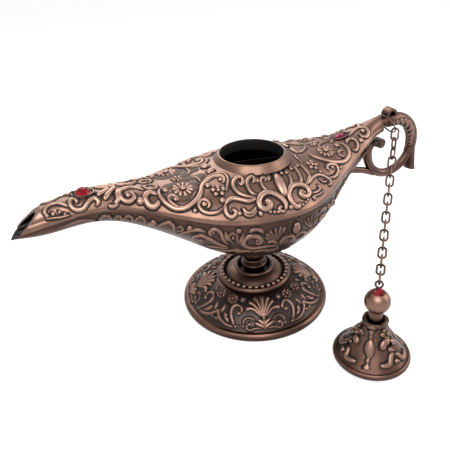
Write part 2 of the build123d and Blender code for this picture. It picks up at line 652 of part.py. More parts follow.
def make_knob_screw():
    """The screw from inside the lid up into the ball."""
    floor = CROWN_HEIGHT - CROWN_DEPTH
    plate = floor - LID_PLATE
    shank = Pos(0, 0, plate) * Cylinder(STUD_RADIUS, LID_PLATE + STUD_DEPTH, align=UPRIGHT)
    head = Pos(0, 0, plate - STUD_HEAD_HEIGHT) * Cylinder(STUD_HEAD_RADIUS, STUD_HEAD_HEIGHT, align=UPRIGHT)
    slot = Pos(0, 0, plate - STUD_HEAD_HEIGHT) * Box(2 * STUD_HEAD_RADIUS, SCREW_SLOT_WIDTH, STUD_HEAD_HEIGHT)
    return shank + head - slot


def hung_chain(start, end):
    """The places where the links bear on each other, on a chain that hangs from start to end."""
    length = CHAIN_SLACK * (end - start).length
    drop = end.Z - start.Z
    flat = Vector(end.X - start.X, end.Y - start.Y, 0)
    span = flat.length
    stretch = sqrt(length ** 2 - drop ** 2)
    low, high = span / CATENARY_REACH, span * CATENARY_REACH
    for _ in range(CATENARY_STEPS):
        middle = (low + high) / 2
        if 2 * middle * sinh(span / 2 / middle) > stretch:
            low = middle
        else:
            high = middle
    first = low * atanh(drop / length) - span / 2
    heading = flat.normalized()
    joints = []
    for share in shares(LINK_COUNT):
        reach = low * asinh(sinh(first / low) + share * length / low)
        rise = low * (cosh(reach / low) - cosh(first / low))
        joints.append(start + heading * (reach - first) + Vector(0, 0, rise))
    return joints


def wire_ring(radius, wire):
    """A closed ring of wire, round its own Z axis, with flats instead of a round section."""
    section = Pos(radius, 0) * RegularPolygon(wire / 2, WIRE_FLATS)
    return revolve(Plane.XZ * section, axis=Axis.Z)


def make_hook_ring(centre, axis):
    """The jump ring round the handle's neck."""
    return Plane(origin=centre, z_dir=axis) * wire_ring(RING_RADIUS, RING_WIRE)


def make_link(start, end, across):
    """One link of the chain: two half-round bows and two straight legs."""
    along = (end - start).normalized()
    bend = (LINK_WIDTH - WIRE) / 2
    leg = (end - start).length + WIRE + LINK_GAP - 2 * bend
    section = Pos(bend, 0) * RegularPolygon(WIRE / 2, WIRE_FLATS)
    bow = revolve(Plane.XZ * section, axis=Axis.Z, revolution_arc=HALF_TURN)
    side = extrude(Plane.XZ * section, leg / 2, both=True)
    legs = side + mirror(side, about=Plane.YZ)
    far_bow = Pos(0, leg / 2, 0) * bow
    link = legs + far_bow + mirror(far_bow, about=Plane.XZ)
    return Plane(origin=(start + end) / 2, x_dir=across, z_dir=across.cross(along)) * link


def make_chain_eye(place, way, axis, ball):
    """The wire eye in the ball, with its shank."""
    loop = Plane(origin=place, z_dir=axis) * wire_ring(EYE_RADIUS, EYE_WIRE)
    depth = (place - ball).length - EYE_RADIUS - (BALL_RADIUS - EYE_SHANK_DEPTH)
    shank_plane = Plane(origin=place - way * EYE_RADIUS, z_dir=-way)
    return loop + shank_plane * Cylinder(EYE_SHANK_RADIUS, depth, align=UPRIGHT)


lid_frame = Pos(LID_PLACE[0], LID_PLACE[1], 0)
ball = Vector(LID_PLACE[0], LID_PLACE[1], BALL_HEIGHT)
up = Vector(0, 0, 1)

# Where the jump ring lies, and where the first link bears on it
lean = radians(RING_LEAN)
hang = radians(RING_HANG)
neck = Vector(TAIL_END.along + RING_PLACE, 0, LOOP_CENTRE[1] + LOOP_RADIUS)
ring_axis = Vector(cos(lean), 0, sin(lean))
ring_pull = Vector(sin(lean) * sin(hang), -cos(hang), -cos(lean) * sin(hang))
ring_slack = RING_RADIUS - RING_WIRE / 2 - NECK_RADIUS - RING_CLEARANCE
ring_centre = neck + ring_pull * ring_slack
ring_wire = ring_centre + ring_pull * RING_RADIUS

# Where the eye stands on the ball, on the side that faces the ring
homeward = Vector(ring_wire.X - ball.X, ring_wire.Y - ball.Y, 0).normalized()
sideways = homeward.cross(up)
rise = radians(EYE_ELEVATION)
eye_way = homeward * cos(rise) + up * sin(rise)
eye_centre = ball + eye_way * (BALL_RADIUS + EYE_STAND + EYE_WIRE / 2 + EYE_RADIUS)
eye_wire = eye_centre + eye_way * EYE_RADIUS

# The chain hangs between the two wires, and its end links bear on them
loose = hung_chain(ring_wire, eye_wire)
first_way = (loose[1] - loose[0]).normalized()
last_way = (loose[-1] - loose[-2]).normalized()
joints = hung_chain(ring_wire - first_way * (RING_WIRE + LINK_GAP) / 2,
                    eye_wire + last_way * (EYE_WIRE + LINK_GAP) / 2)

upper_outside = loft([upper_section(row) for row in STATIONS])
lower_outside = loft([lower_section(row) for row in STATIONS[:-1]])
save("upper_shell", make_upper_shell(upper_outside))
save("upper_reliefs", make_upper_reliefs(upper_outside))
save("lower_shell", make_lower_shell(lower_outside))
save("lower_reliefs", make_lower_reliefs(lower_outside))
save("foot", make_foot())
save("stem", make_stem())
save("foot_screw", make_foot_screw())
save("foot_washer", make_foot_washer())
save("handle", make_handle(lower_outside))
save("spout_gem", gem(SPOUT_GEM_SEAT, SPOUT_GEM_LENGTH, SPOUT_GEM_WIDTH))
save("tail_gem", gem(TAIL_GEM_SEAT, TAIL_GEM_LENGTH, TAIL_GEM_WIDTH))
save("lid_shell", lid_frame * make_lid_shell())
save("knob_ball", lid_frame * make_knob_ball(eye_way))
save("knob_gem", lid_frame * make_knob_gem())
save("knob_screw", lid_frame * make_knob_screw())
save("hook_ring", make_hook_ring(ring_centre, ring_axis))
for number in range(1, LINK_COUNT + 1):
    start, end = joints[number - 1], joints[number]
    along = (end - start).normalized()
    twist = radians(FIRST_TWIST * (min(number, TWISTED_LINKS) - 1) + QUARTER * max(0, number - TWISTED_LINKS))
    across = sideways * cos(twist) + along.cross(sideways) * sin(twist)
    save("link_%02d" % number, make_link(start, end, across))
save("chain_eye", make_chain_eye(eye_centre, eye_way, eye_way.cross(sideways), ball))
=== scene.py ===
"""A cast copper genie lamp, dressed for its portrait: reliefs, wire, stones and stage."""

import math

import bmesh
import bpy
import numpy
from mathutils import Matrix, Vector
from mathutils.bvhtree import BVHTree
from mathutils.geometry import interpolate_bezier


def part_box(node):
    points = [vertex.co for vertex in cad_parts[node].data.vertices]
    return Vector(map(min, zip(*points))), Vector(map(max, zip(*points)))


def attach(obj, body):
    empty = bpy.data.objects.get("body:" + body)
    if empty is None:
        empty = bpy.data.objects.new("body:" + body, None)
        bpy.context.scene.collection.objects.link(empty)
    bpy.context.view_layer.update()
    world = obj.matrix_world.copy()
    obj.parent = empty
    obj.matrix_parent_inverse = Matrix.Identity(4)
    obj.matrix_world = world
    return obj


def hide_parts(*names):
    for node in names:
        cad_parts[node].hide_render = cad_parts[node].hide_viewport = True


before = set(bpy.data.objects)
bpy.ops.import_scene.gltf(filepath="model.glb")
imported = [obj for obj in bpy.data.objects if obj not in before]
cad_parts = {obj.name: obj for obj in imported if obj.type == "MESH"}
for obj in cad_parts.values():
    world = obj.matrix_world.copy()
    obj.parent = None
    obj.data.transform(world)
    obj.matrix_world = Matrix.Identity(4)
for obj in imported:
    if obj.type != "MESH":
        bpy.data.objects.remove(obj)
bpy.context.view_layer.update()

bl_info = {
    "name": "Genie lamp",
    "version": (1, 0, 0),
    "blender": (4, 2, 0),
    "location": "View3D > Sidebar > Lamp",
    "description": "Dresses a cast copper lamp with its reliefs, chain, stones and stage",
    "category": "Object",
}

MM = 0.001

# The photograph's camera, in metres and pixels
EYE_PLACE = Vector((-0.12375, -0.21908, 0.1985))
LOOK_WAY = Vector((0.376, 0.771, -0.514)).normalized()
CAMERA_ROLL = math.radians(-2.96)
FOCAL_PIXELS = 543.18
PICTURE_SIDE = 450.0
SENSOR_WIDTH = 36.0

# Cast lines: half the width in millimetres, then the places that the line runs through, in the
# photograph's pixels. The near side is drawn, and the far side mirrors it.
UPPER_SCROLLS = {
    "lip curl": (0.8, ((47, 216), (44.5, 212), (47, 207), (55, 203.5), (63, 204.5), (69, 207))),
    "lip line": (0.5, ((45, 219), (54, 218), (62, 217), (71, 214.5))),
    "gem scroll": (1.0, ((75, 203.7), (76.7, 201.4), (72.8, 199.1), (69.8, 201.4), (70.5, 205.5),
        (74, 209), (79, 210), (84, 208), (88.1, 202.2), (93.5, 198.4), (98.1, 200.7), (97.3, 204.5),
        (95, 204))),
    "throat leaf a": (1.2, ((96.6, 196), (103.5, 192), (111, 187.7), (116, 186))),
    "throat leaf b": (1.2, ((104, 200.5), (107.5, 194.5), (112.6, 189.4), (117, 187))),
    "throat leaf c": (1.1, ((114, 204), (118, 200), (117, 194), (118, 189))),
    "throat hook": (0.8, ((108, 205), (111.5, 206.5), (115.7, 205.5), (118, 202))),
    "throat volute": (1.1, ((145, 190.5), (136, 188), (127, 188.2), (120.5, 190.7), (119.3, 195),
        (123, 200), (129.5, 201.5), (134, 198), (132, 193.5), (128, 192.5))),
    "fore crescent": (1.3, ((157.6, 195.2), (152, 193), (146.7, 193.9), (144.8, 197.6), (146.7, 202.4),
        (150.3, 206.1), (154.5, 206.7), (157.6, 204.2), (158.8, 200.6))),
    "fore loop": (0.7, ((150.3, 184.9), (157, 187.3), (150.3, 189.7), (143.6, 187.3), (149.5, 184.9))),
    "fore frame": (1.1, ((160, 188), (158.8, 192.7), (160, 196.4), (164.2, 201.8), (169.1, 205.5),
        (173.9, 208.2), (179.4, 209.1), (186.1, 207.9), (192.1, 204.2), (197.6, 198.8), (200.6, 192.7),
        (201.8, 187.3), (204.2, 183), (209.7, 178.8), (215.8, 176.4), (221.2, 176.4), (224.2, 178.8),
        (223.6, 182), (221.2, 183.5))),
    "fore outer line": (0.7, ((203, 180.5), (211.5, 174.8), (218.8, 173.4), (225, 174.6), (228, 179.4),
        (227.2, 186), (226, 192))),
    "fore inner curl": (0.8, ((180, 207.5), (172.7, 203.6), (168.5, 199.4), (169.7, 196.4),
        (173.9, 195.8), (177.6, 198.2), (176.4, 201.2))),
    "fore branch": (0.6, ((190, 177), (194.5, 177.2), (198.2, 179), (201, 182.5))),
    "seam spiral": (0.9, ((224, 207), (218.2, 212), (210.3, 213.3), (203.6, 211.5), (199.4, 207.3),
        (198.8, 203.6), (201.2, 200.6), (205.5, 200), (208.5, 202.4), (209.1, 206.1), (206.7, 208.6))),
    "crossing leaf": (1.1, ((225, 204.8), (228.6, 200), (234.7, 198.6), (242, 200), (249.2, 201.2),
        (257, 198.4))),
    "crossing curl": (1.0, ((225.2, 203), (225, 208), (226, 212.5), (229, 216.2), (232.9, 216.8),
        (235.9, 213.3), (234.1, 210.3), (231.7, 210.9))),
    "middle curl a": (1.0, ((257, 197.8), (248, 196.6), (240.2, 194.1), (234.7, 189.3), (232.9, 184.2),
        (234.7, 179.6), (238.3, 177.4), (242, 178.6), (243, 182.2), (240.8, 184.8), (238.6, 183))),
    "middle curl b": (0.9, ((258, 195), (252.3, 193.4), (248.6, 189), (246.8, 183.6), (248, 179),
        (251.1, 176.8), (254, 178.4), (254, 181.6), (251.7, 182.6))),
    "middle curl c": (0.8, ((269, 191), (264.4, 188.4), (261.4, 184.2), (260.8, 179.6), (263.2, 177.5),
        (265.6, 179), (264.8, 181.6))),
    "big volute a": (1.35, ((285.2, 210.5), (286, 206), (283.8, 201.2), (279.5, 197), (274.1, 193.9),
        (267.4, 192.5), (261.4, 195.6), (258.6, 201.2), (260.2, 206.7), (265, 209.1), (269.6, 206.9),
        (270.3, 202.8), (267.4, 200.6), (265, 202.4))),
    "volute a end": (0.8, ((285, 209.5), (283.2, 211.6), (280.8, 211), (279, 208.6), (280.2, 206.8),
        (282.3, 207.6))),
    "big volute b": (1.3, ((298, 202.6), (299.6, 204.8), (297.1, 206.9), (292.9, 203.8), (289.4, 198.2),
        (288.6, 192.7), (291, 186.9), (295.3, 184.8), (301.4, 184.8), (306.8, 187.9), (309, 192.7),
        (306.8, 196.2), (302.4, 196), (300, 193.2), (301, 190.8), (303.8, 190.6))),
    "leaf spray a": (0.8, ((242.6, 206.8), (245, 211.3), (249.2, 213.1), (253.5, 211.3), (256.2, 206))),
    "leaf spray b": (0.6, ((243.4, 212), (246, 215), (250, 216), (254.1, 214.2), (257, 209.6))),
    "collar stem a": (0.8, ((288.6, 175.2), (291, 180), (290.5, 184.6))),
    "collar stem b": (0.9, ((293.5, 166.5), (297.7, 172), (300.8, 178.2), (300.2, 184))),
    "collar stem c": (0.9, ((300, 165), (305.2, 169.7), (309.2, 175.2), (308.6, 180.6), (306.4, 184.6))),
    "rear wave": (0.8, ((303, 185.4), (309, 182), (312.6, 177.4), (317.6, 174.8), (323.8, 176.2),
        (329.5, 180), (330.4, 183.6), (327.4, 185))),
    "rear wave branch": (0.6, ((318, 177.5), (321.4, 181.2), (325, 181.8), (326.6, 179.4))),
    "rear small curl": (0.7, ((311, 193), (315.5, 192.2), (319.3, 189.5), (318.7, 186), (316, 186.2))),
    "rear spray": (0.6, ((313, 196), (318.5, 194.4), (323.4, 190.6))),
    "rear frame": (1.1, ((309, 154.8), (314.2, 157), (321.9, 159.6), (329.5, 161.6), (337.2, 162.2),
        (344.2, 161), (348.7, 155.9), (348, 149.5), (344.8, 145.7), (340.6, 143.4))),
    "rear frame curl": (0.7, ((345, 156.4), (341, 156), (338.6, 152.9), (340.4, 150.2), (343.4, 151.3))),
    "rear root": (0.6, ((294, 154.4), (297.4, 159), (303, 163.4))),
    "rear spiral": (0.9, ((328, 178), (334.4, 176.6), (337.4, 172.3), (337.2, 167.4), (333.4, 164.2),
        (328.3, 164.8), (326.8, 168), (329.8, 171))),
    "tail hook": (0.9, ((346.8, 143.8), (347.4, 140.2), (351.9, 138.7), (356.3, 141.3), (357.6, 146.4),
        (355.7, 150.2), (351.4, 149.4))),
    "back scroll a": (0.9, ((288, 145.5), (292, 150), (297, 152.5), (303, 150.5), (306, 146.5))),
    "back scroll b": (0.8, ((296, 142.6), (301, 141), (305.6, 142.8), (304.4, 146.4))),
    "back scroll c": (0.8, ((317.6, 147.2), (322.6, 141.8), (328.6, 138.6), (332.4, 140.4),
        (330, 143.2))),
    "fore top scroll": (0.8, ((183, 174.5), (190, 174.8), (197, 172.5), (203, 169), (208.4, 164.8),
        (209.4, 161), (206.2, 160))),
    "fore top curl": (0.7, ((195, 165), (199.6, 163.2), (203.6, 164.6), (202.6, 167.6))),
    "tail curl": (1.0, ((347.6, 137), (353.8, 131.2), (359.5, 127.6), (365.6, 128.2), (368.4, 132.3),
        (366.6, 136.4), (362.1, 136.6), (359.4, 133.8))),
}

# Drops, buds, pearls and almond leaves: half the width, then the two ends of each
UPPER_DROPS = {
    "spout boss": (1.9, (64, 196.4), (68, 196.4)),
    "lip pearl": (0.9, (46.2, 215.2), (47.4, 216.4)),
    "lip bud a": (0.9, (51.5, 215.2), (54.5, 212.6)),
    "lip bud b": (0.8, (58.3, 213.4), (60.7, 211)),
    "lip bud c": (0.7, (63.8, 215), (66, 213)),
    "throat pearl": (1.2, (126.5, 195.6), (129.2, 195.6)),
    "throat ball": (1.7, (138.8, 201.4), (141.8, 201.4)),
    "fore bud": (1.3, (161.8, 190.4), (168.4, 191.4)),
    "fore curl pearl": (1.0, (174.5, 199.6), (176.5, 199.4)),
    "fore hook bud": (1.2, (219.4, 180.4), (221.8, 179.6)),
    "fore side bud": (1.3, (206.6, 187), (208.6, 185.2)),
    "fore almond": (1.6, (206.7, 173.9), (214.5, 169.1)),
    "fore ball": (1.3, (221.3, 200.6), (223.4, 200.6)),
    "spiral pearl": (1.25, (203, 204.5), (205.4, 204.5)),
    "seam drop": (1.0, (195.4, 208.4), (194.4, 213)),
    "middle drop a": (0.9, (257.2, 178.4), (257.8, 183)),
    "middle drop b": (0.9, (268.4, 175.8), (268.8, 181)),
    "crossing drop": (1.0, (239.4, 211.6), (239.6, 215.4)),
    "seam tear": (1.0, (259, 210.6), (262, 216.6)),
    "almond leaf": (2.5, (274.7, 173.6), (285.4, 197.4)),
    "volute pearl a": (0.85, (269.6, 211.6), (270.8, 211.8)),
    "volute pearl b": (0.85, (273.8, 212), (275, 212)),
    "volute pearl c": (0.85, (277.7, 212), (278.9, 211.8)),
    "volute ball": (1.15, (290.3, 205.8), (291.2, 208.4)),
    "leaf bead a": (0.8, (301.6, 203), (304, 206)),
    "leaf bead b": (0.8, (304.4, 200.8), (306.8, 203.4)),
    "leaf bead c": (0.8, (306.6, 198.8), (309, 201)),
    "volute b pearl": (0.9, (303.2, 192.4), (304.6, 192.4)),
    "volute a pearl": (0.8, (267, 203.6), (268, 203.6)),
    "collar pearl a": (0.9, (280.4, 173.6), (282.4, 173.6)),
    "collar pearl b": (0.9, (285.2, 172.8), (287.2, 172.8)),
    "collar pearl c": (0.9, (290, 169.4), (292, 169)),
    "collar pearl d": (0.9, (296, 166.4), (298, 166)),
    "rear drop a": (1.0, (312, 195.6), (315.6, 199.8)),
    "rear drop b": (0.9, (319.6, 170.4), (320.4, 173.4)),
    "rear drop c": (1.0, (339.6, 165.4), (341, 169.2)),
    "rear frame bud": (1.2, (335.4, 146.4), (337.8, 145)),
    "rear spiral pearl": (1.0, (331.4, 167.6), (333, 167.2)),
    "back bud a": (1.0, (318.5, 138.5), (321, 137.5)),
    "back bud b": (0.9, (291.6, 142), (294, 141)),
    "fore top bud": (0.9, (179, 172.6), (181.5, 171.4)),
    "tail pearl": (1.2, (361.6, 131.4), (363.8, 130.8)),
    "tail bud": (1.3, (359.6, 141.6), (362, 139.4)),
}

# Flowers: radius and half a petal's width in millimetres, petals, then the middle in pixels
UPPER_FLOWERS = {
    "fore daisy": (5.3, 1.4, 11, (182.8, 189.4)),
    "fore rosette": (3.7, 1.25, 5, (218.4, 191)),
    "rear daisy": (4.8, 1.25, 11, (325.4, 151.2)),
    "rear rosette": (3.4, 1.15, 5, (312.3, 165.2)),
    "fore top daisy": (3.4, 1.1, 8, (176, 178.6)),
    "rear top daisy": (3.6, 1.1, 9, (311, 143.8)),
    "fore top rosette": (2.8, 0.9, 5, (190.4, 169.8)),
}

# The lower shell's cast lines and drops, in the same form
LOWER_SCROLLS = {
    "arch a": (0.7, ((99.8, 221), (100.7, 217.6), (105.2, 215.4), (110.1, 216.6), (111, 219.4))),
    "arch b": (0.7, ((113.7, 219.6), (115.9, 216.6), (119.9, 216), (121.7, 218.4), (119.5, 220.2))),
    "arch c": (0.7, ((123, 220), (125.7, 216.6), (130.2, 216), (132.9, 218.4), (132, 221))),
    "arch d": (0.7, ((134.6, 221.2), (137.3, 217.8), (141.8, 216.8), (144.9, 219.4), (144, 222.4))),
    "fore arch": (0.9, ((158.8, 225.6), (163.2, 223), (169.5, 222.2), (173.9, 225.6), (174.8, 230.7))),
    "fore eye": (0.7, ((175.5, 228.6), (179.5, 226.6), (183.8, 228.8), (179.8, 230.6), (176, 229))),
    "fore wave": (0.9, ((177.5, 234.3), (188.2, 231), (198, 229.6), (206.1, 231.8))),
    "fore leaf": (1.1, ((192.7, 238.2), (195.4, 235.6), (202.5, 235.2), (209.6, 237.9), (218.6, 243.2),
        (229.3, 246.8))),
    "fore volute": (1.0, ((213.6, 234.6), (210.4, 234), (210, 231), (213, 229.2), (217.7, 229.6),
        (221.3, 233.6), (223.9, 239.6), (229.3, 245))),
    "heart loop": (0.7, ((237.4, 244.8), (231.8, 241.5), (228.9, 236.2), (232.4, 233.2), (236.8, 235),
        (237.2, 240.7), (237.4, 244.4))),
    "middle arch": (0.9, ((249, 232.6), (251.5, 230.2), (256.5, 229.2), (261.4, 230.8), (262.7, 232.6))),
    "big volute": (1.2, ((279, 245), (268.9, 245.4), (259.8, 246.7), (250.7, 247.3), (244.9, 245.4),
        (243.4, 241.5), (246.5, 237.5), (252.3, 235.7), (258.7, 237.3), (261.2, 240.7), (258.6, 243.2),
        (254.8, 242.8))),
    "shell foot": (1.0, ((267, 242.4), (271, 240.8), (276.4, 242.6))),
    "rear curl": (0.9, ((278.8, 244.8), (281.3, 239.8), (286.3, 236.7), (292.1, 235.7), (292.3, 238.2),
        (288, 240.4))),
    "rear ring": (0.8, ((293.8, 237.5), (298.7, 232.8), (304.4, 231.7), (302.1, 235.5), (296.3, 238.8))),
    "rear leaf": (0.8, ((306.6, 230.6), (311, 228.8), (317.4, 223.8))),
    "rear arch": (0.8, ((319.5, 212.8), (322, 208.6), (326.9, 206.8))),
    "under leaf a": (1.0, ((206, 245), (217.8, 246.4), (228.9, 247.8))),
    "under leaf b": (1.0, ((213, 248.4), (225.2, 249.8), (236.3, 249.2), (242, 249.4))),
    "under leaf c": (1.0, ((234.4, 251.2), (245.5, 250.2), (252.9, 250.2))),
    "under leaf d": (1.0, ((252, 251.4), (260, 249.7), (268.6, 249.8), (278.8, 247))),
    "spout edge": (0.6, ((55, 229), (66, 225.6), (75, 222.4), (84, 219.8), (92, 219.8), (98, 221))),
    "rear hook": (0.8, ((319.6, 221.8), (319.5, 217.4), (323.4, 214.3), (325.8, 215.8), (322.8, 218.8))),
}

LOWER_DROPS = {
    "arch bud": (0.8, (126.4, 219.4), (129.4, 219)),
    "fore tear": (1.6, (148.6, 223.4), (157, 221.2)),
    "fore ball": (1.4, (188.6, 227.8), (190.8, 227.6)),
    "leaf bud": (1.0, (198.4, 239.4), (204.4, 239.2)),
    "volute pearl": (0.9, (212.6, 232.2), (214, 232)),
    "heart petal a": (1.2, (224.9, 231.6), (229, 241.2)),
    "heart petal b": (1.1, (243.8, 233.4), (238.8, 243.6)),
    "heart bud": (0.9, (232.6, 235.4), (233.8, 239.6)),
    "heart ball": (1.3, (237.6, 230.8), (239.8, 230.6)),
    "volute eye": (1.0, (256.4, 240.4), (258.2, 240.4)),
    "cabochon": (2.2, (296.6, 221.8), (294.4, 233)),
}

# Fan shells: half a ray's width, the hub, then the tips of the rays
LOWER_FANS = {
    "middle fan": (1.0, (275.9, 239.6), ((264, 237.2), (264.9, 233.2), (268.9, 229.8), (275.1, 226.6),
        (281.2, 225.4), (285.8, 226.2))),
    "rear fan": (0.9, (310.4, 227.2), ((303.4, 221), (307, 216.9), (311.2, 214.6), (315.2, 214.6),
        (318, 217))),
}

# The pearls round the cabochon: its middle, half width and half height in pixels, then half the
# width of one pearl in millimetres and half its length in pixels
CABOCHON_MIDDLE = (295.5, 227.4)
CABOCHON_HALF = (6.3, 8.8)
CABOCHON_PEARLS = 18
CABOCHON_PEARL = 0.6
CABOCHON_PEARL_HALF = 0.3

# One half of the foot's repeat, left of the palmette. The other half mirrors it.
FOOT_SCROLLS = {
    "chevron a": (1.0, ((265.3, 325), (261, 321.6), (257.9, 319.6))),
    "chevron b": (1.0, ((265.3, 327.6), (259.8, 325), (254.4, 322.6))),
    "arch": (0.55, ((254.6, 321.4), (252, 318.8), (247.8, 317.8), (243.9, 320.6), (243.1, 325.8))),
    "under scroll": (0.55, ((262, 328.8), (256.1, 328.4), (250.5, 330.2), (246.9, 329), (246.9, 325.7),
        (249.1, 324.3))),
    "hook": (0.8, ((234.6, 326.2), (232, 319.1), (231.1, 311.7), (233.9, 306.3), (238.5, 305.2),
        (242, 308.9), (240.6, 313))),
    "sprig": (0.8, ((233.4, 327), (226.5, 324.4), (220.9, 319.1), (218.4, 312.6), (219.1, 306.1),
        (222.4, 302.2))),
    "sprig end": (0.75, ((218.6, 311), (217.4, 304), (213.5, 301))),
    "sprig foot": (0.65, ((220, 318.6), (215, 317.8), (211.9, 320.4))),
}

FOOT_DROPS = {
    "hook ball": (1.05, (237.8, 313.2), (239.8, 313.6)),
    "hook foot": (0.85, (234.6, 326.4), (236, 326.4)),
    "foot pearl": (0.45, (239, 326.8), (239.8, 326.8)),
    "arch ball": (0.8, (242.4, 326.4), (243.8, 326.4)),
    "scroll ball": (0.95, (248.4, 324.6), (250, 324.4)),
    "sprig leaf a": (0.95, (228.6, 322.4), (224, 314)),
    "sprig leaf b": (0.85, (226.8, 317.4), (224.6, 311.4)),
    "sprig leaf c": (0.85, (220.6, 313), (226.4, 304.4)),
    "drop a": (0.95, (221.8, 298.2), (225.6, 292.2)),
    "drop b": (0.9, (241.6, 302.6), (244.2, 297)),
}

FOOT_FLOWERS = {
    "upper flower": (3.0, 1.0, 8, (233, 298.8)),
    "lower daisy a": (2.7, 0.8, 10, (210.4, 311.8)),
}

# The palmette: where its rays, bud and stem meet, then half the widths of the three
PALMETTE_HUB = (263.6, 316.4)
PALMETTE_FOOT = (265.3, 331)
PALMETTE_BUD_TIP = (264, 319.4)
PALMETTE_RAYS = (((259.2, 314), (254.2, 309.6), (249.3, 308.5), (245.6, 311)),
                 ((259.7, 312.2), (255.2, 306.4), (251.3, 303.4), (248.4, 303.6)),
                 ((260.7, 310.4), (258.2, 303.7), (255.2, 299), (253.2, 298)),
                 ((262.6, 309.6), (261.6, 301.7), (260.7, 295.6)),
                 ((264.6, 309.6), (266.1, 301.7), (267.6, 296.6)),
                 ((266.6, 311.2), (269.1, 304.7), (272.8, 300)),
                 ((268.1, 313), (272, 308.2), (276.6, 306.6), (279.4, 308.6)))
PALMETTE_RAY = 1.45
PALMETTE_BUD = 1.0
PALMETTE_STEM = 0.7
FOOT_REPEATS = 4

# The dark joint between the two shells
SEAM_LINE = (
    (30, 233.5), (57.4, 224.9), (80.3, 216.3), (100.4, 212), (122, 210.5), (143.5, 212), (165, 216.3),
    (193.7, 222), (225, 225.6), (243, 225.6), (264.6, 223.4), (286.1, 219.8), (300.4, 216.3),
    (314.8, 209.8), (322, 204.8), (333.4, 193.3), (343.5, 181.8)
)
SEAM_HALF_WIDTH = 0.25

# Scales along the handle's arm, the eye of its volute, then its dark grooves
HANDLE_SCALES = {
    "scale a": (0.75, ((393.2, 121.8), (394.4, 122.4), (394.2, 124))),
    "scale b": (0.95, ((396.4, 120.2), (398.2, 122), (398, 124.4))),
    "scale c": (1.0, ((399.8, 119), (402.8, 121.5), (402.6, 124.8))),
    "scale d": (1.05, ((404, 118.6), (407.2, 122), (407, 125.8), (405, 127.2))),
    "scale e": (1.05, ((407.8, 119.4), (411.2, 124.4), (410.4, 128.8), (406.8, 131))),
    "scale f": (1.05, ((411.4, 122.6), (413.2, 129), (411.4, 133), (407.8, 135))),
    "scale g": (1.0, ((413.6, 130.4), (412.8, 135.6), (408.4, 138.6))),
    "scale h": (0.9, ((413.6, 136.6), (411.2, 140.4), (408.2, 142))),
    "scale i": (0.8, ((413, 141.4), (410.8, 143.8), (408.4, 145))),
}
HANDLE_DROPS = {
    "volute eye": (1.2, (376.2, 143.6), (377.8, 143.6)),
}
HANDLE_GROOVES = {
    "lower arm": (0.3, ((367.3, 153.5), (368.8, 161.1), (372.4, 167.8), (377.5, 171.8), (382.6, 172.9),
        (388.7, 170.8), (395.4, 167.2), (403, 161.1), (407.1, 153.5))),
    "strut": (0.3, ((354, 170.2), (359.7, 169.8), (366.3, 171.3))),
    "end leaf": (0.35, ((407, 160.5), (408.6, 163), (409.6, 166.4))),
    "volute ring": (0.45, ((376.9, 140.4), (379.8, 141.6), (380.6, 144.4), (378.6, 146.8),
        (375.4, 146.6), (373.8, 144), (374.8, 141.4), (377, 140.4))),
}

# Dark fields behind the spout's flowers
UPPER_FIELDS = {
    "daisy top": (2.9, ((163, 188.5), (172, 185.5), (182, 184), (192, 184), (198, 182))),
    "daisy foot": (2.6, ((164, 193), (172, 195.5), (182, 197.5), (190, 195))),
    "daisy side": (2.4, ((186, 189), (193, 188.5), (197, 186))),
    "collar foot": (2.7, ((176, 181.5), (187, 178.5), (198, 177), (204, 173.5))),
    "ridge": (2.4, ((170, 179), (181, 175), (192, 170.5), (202, 166.5))),
}

# The spout's row of arches comes back under the tail: how far forward it starts, the share of that way
# that it keeps, how far out it is cast from, its share of the width, and the steps along the seam
TAIL_ECHO_START = 0.045
TAIL_ECHO_SHARE = 0.58
TAIL_ECHO_REACH = 0.08
TAIL_ECHO_WEIGHT = 0.9
SEAM_STEP = 0.003

# The soldered joint inside the spout's mouth: where it starts, its slope, length and steps, its
# bead's half width in millimetres, and how far the bead stands in from the wall
JOINT_START = Vector((-0.1175, 0, 0.0802))
JOINT_SLOPE = 0.155
JOINT_LENGTH = 0.024
JOINT_STEPS = 12
JOINT_BEAD = 0.75
JOINT_INSET = 0.0003

# Black painted shade inside the spout and the mouth: where it ends in the spout, the mouth's widest
# wall, its gap from a wall, the bare edge round it, and how squarely a face has to look inwards
LINING_END = -0.088
MOUTH_WALL = 0.0168
LINING_GAP = 0.00006
LINING_EDGE = 0.0004
LINING_FACING = 0.35

# The spout's stone: the depth of its seat, its size, its foot and how finely it is cut, then the plate
# round it with the angle that makes an edge sharp, and the bezel's half width in millimetres
SEAT_DEPTH = 0.0008
STONE_RADIUS = 0.0034
STONE_RISE = 0.003
STONE_FOOT = 0.00025
STONE_CUTS = 2
PLATE_FLATNESS = 0.25
PLATE_EDGE = math.radians(40)
BEZEL = 0.45
BEZEL_STEPS = 40

# The rolled rim of the foot's cup
CUP_RIM_PLACE = Vector((0.0099, 0, 0.0212))
CUP_RIM_RADIUS = 0.0011
CUP_RIM_SIDES = 12
CUP_RIM_STEPS = 72

# Pointed leaves round the stem, on the underside of the belly
BELLY_LEAVES = 14
BELLY_LEAF_SPAN = (0.0085, 0.026)
BELLY_LEAF_HALF_WIDTH = 1.5
BELLY_LEAF_FULLNESS = 1.6
BELLY_LEAF_STEPS = 8

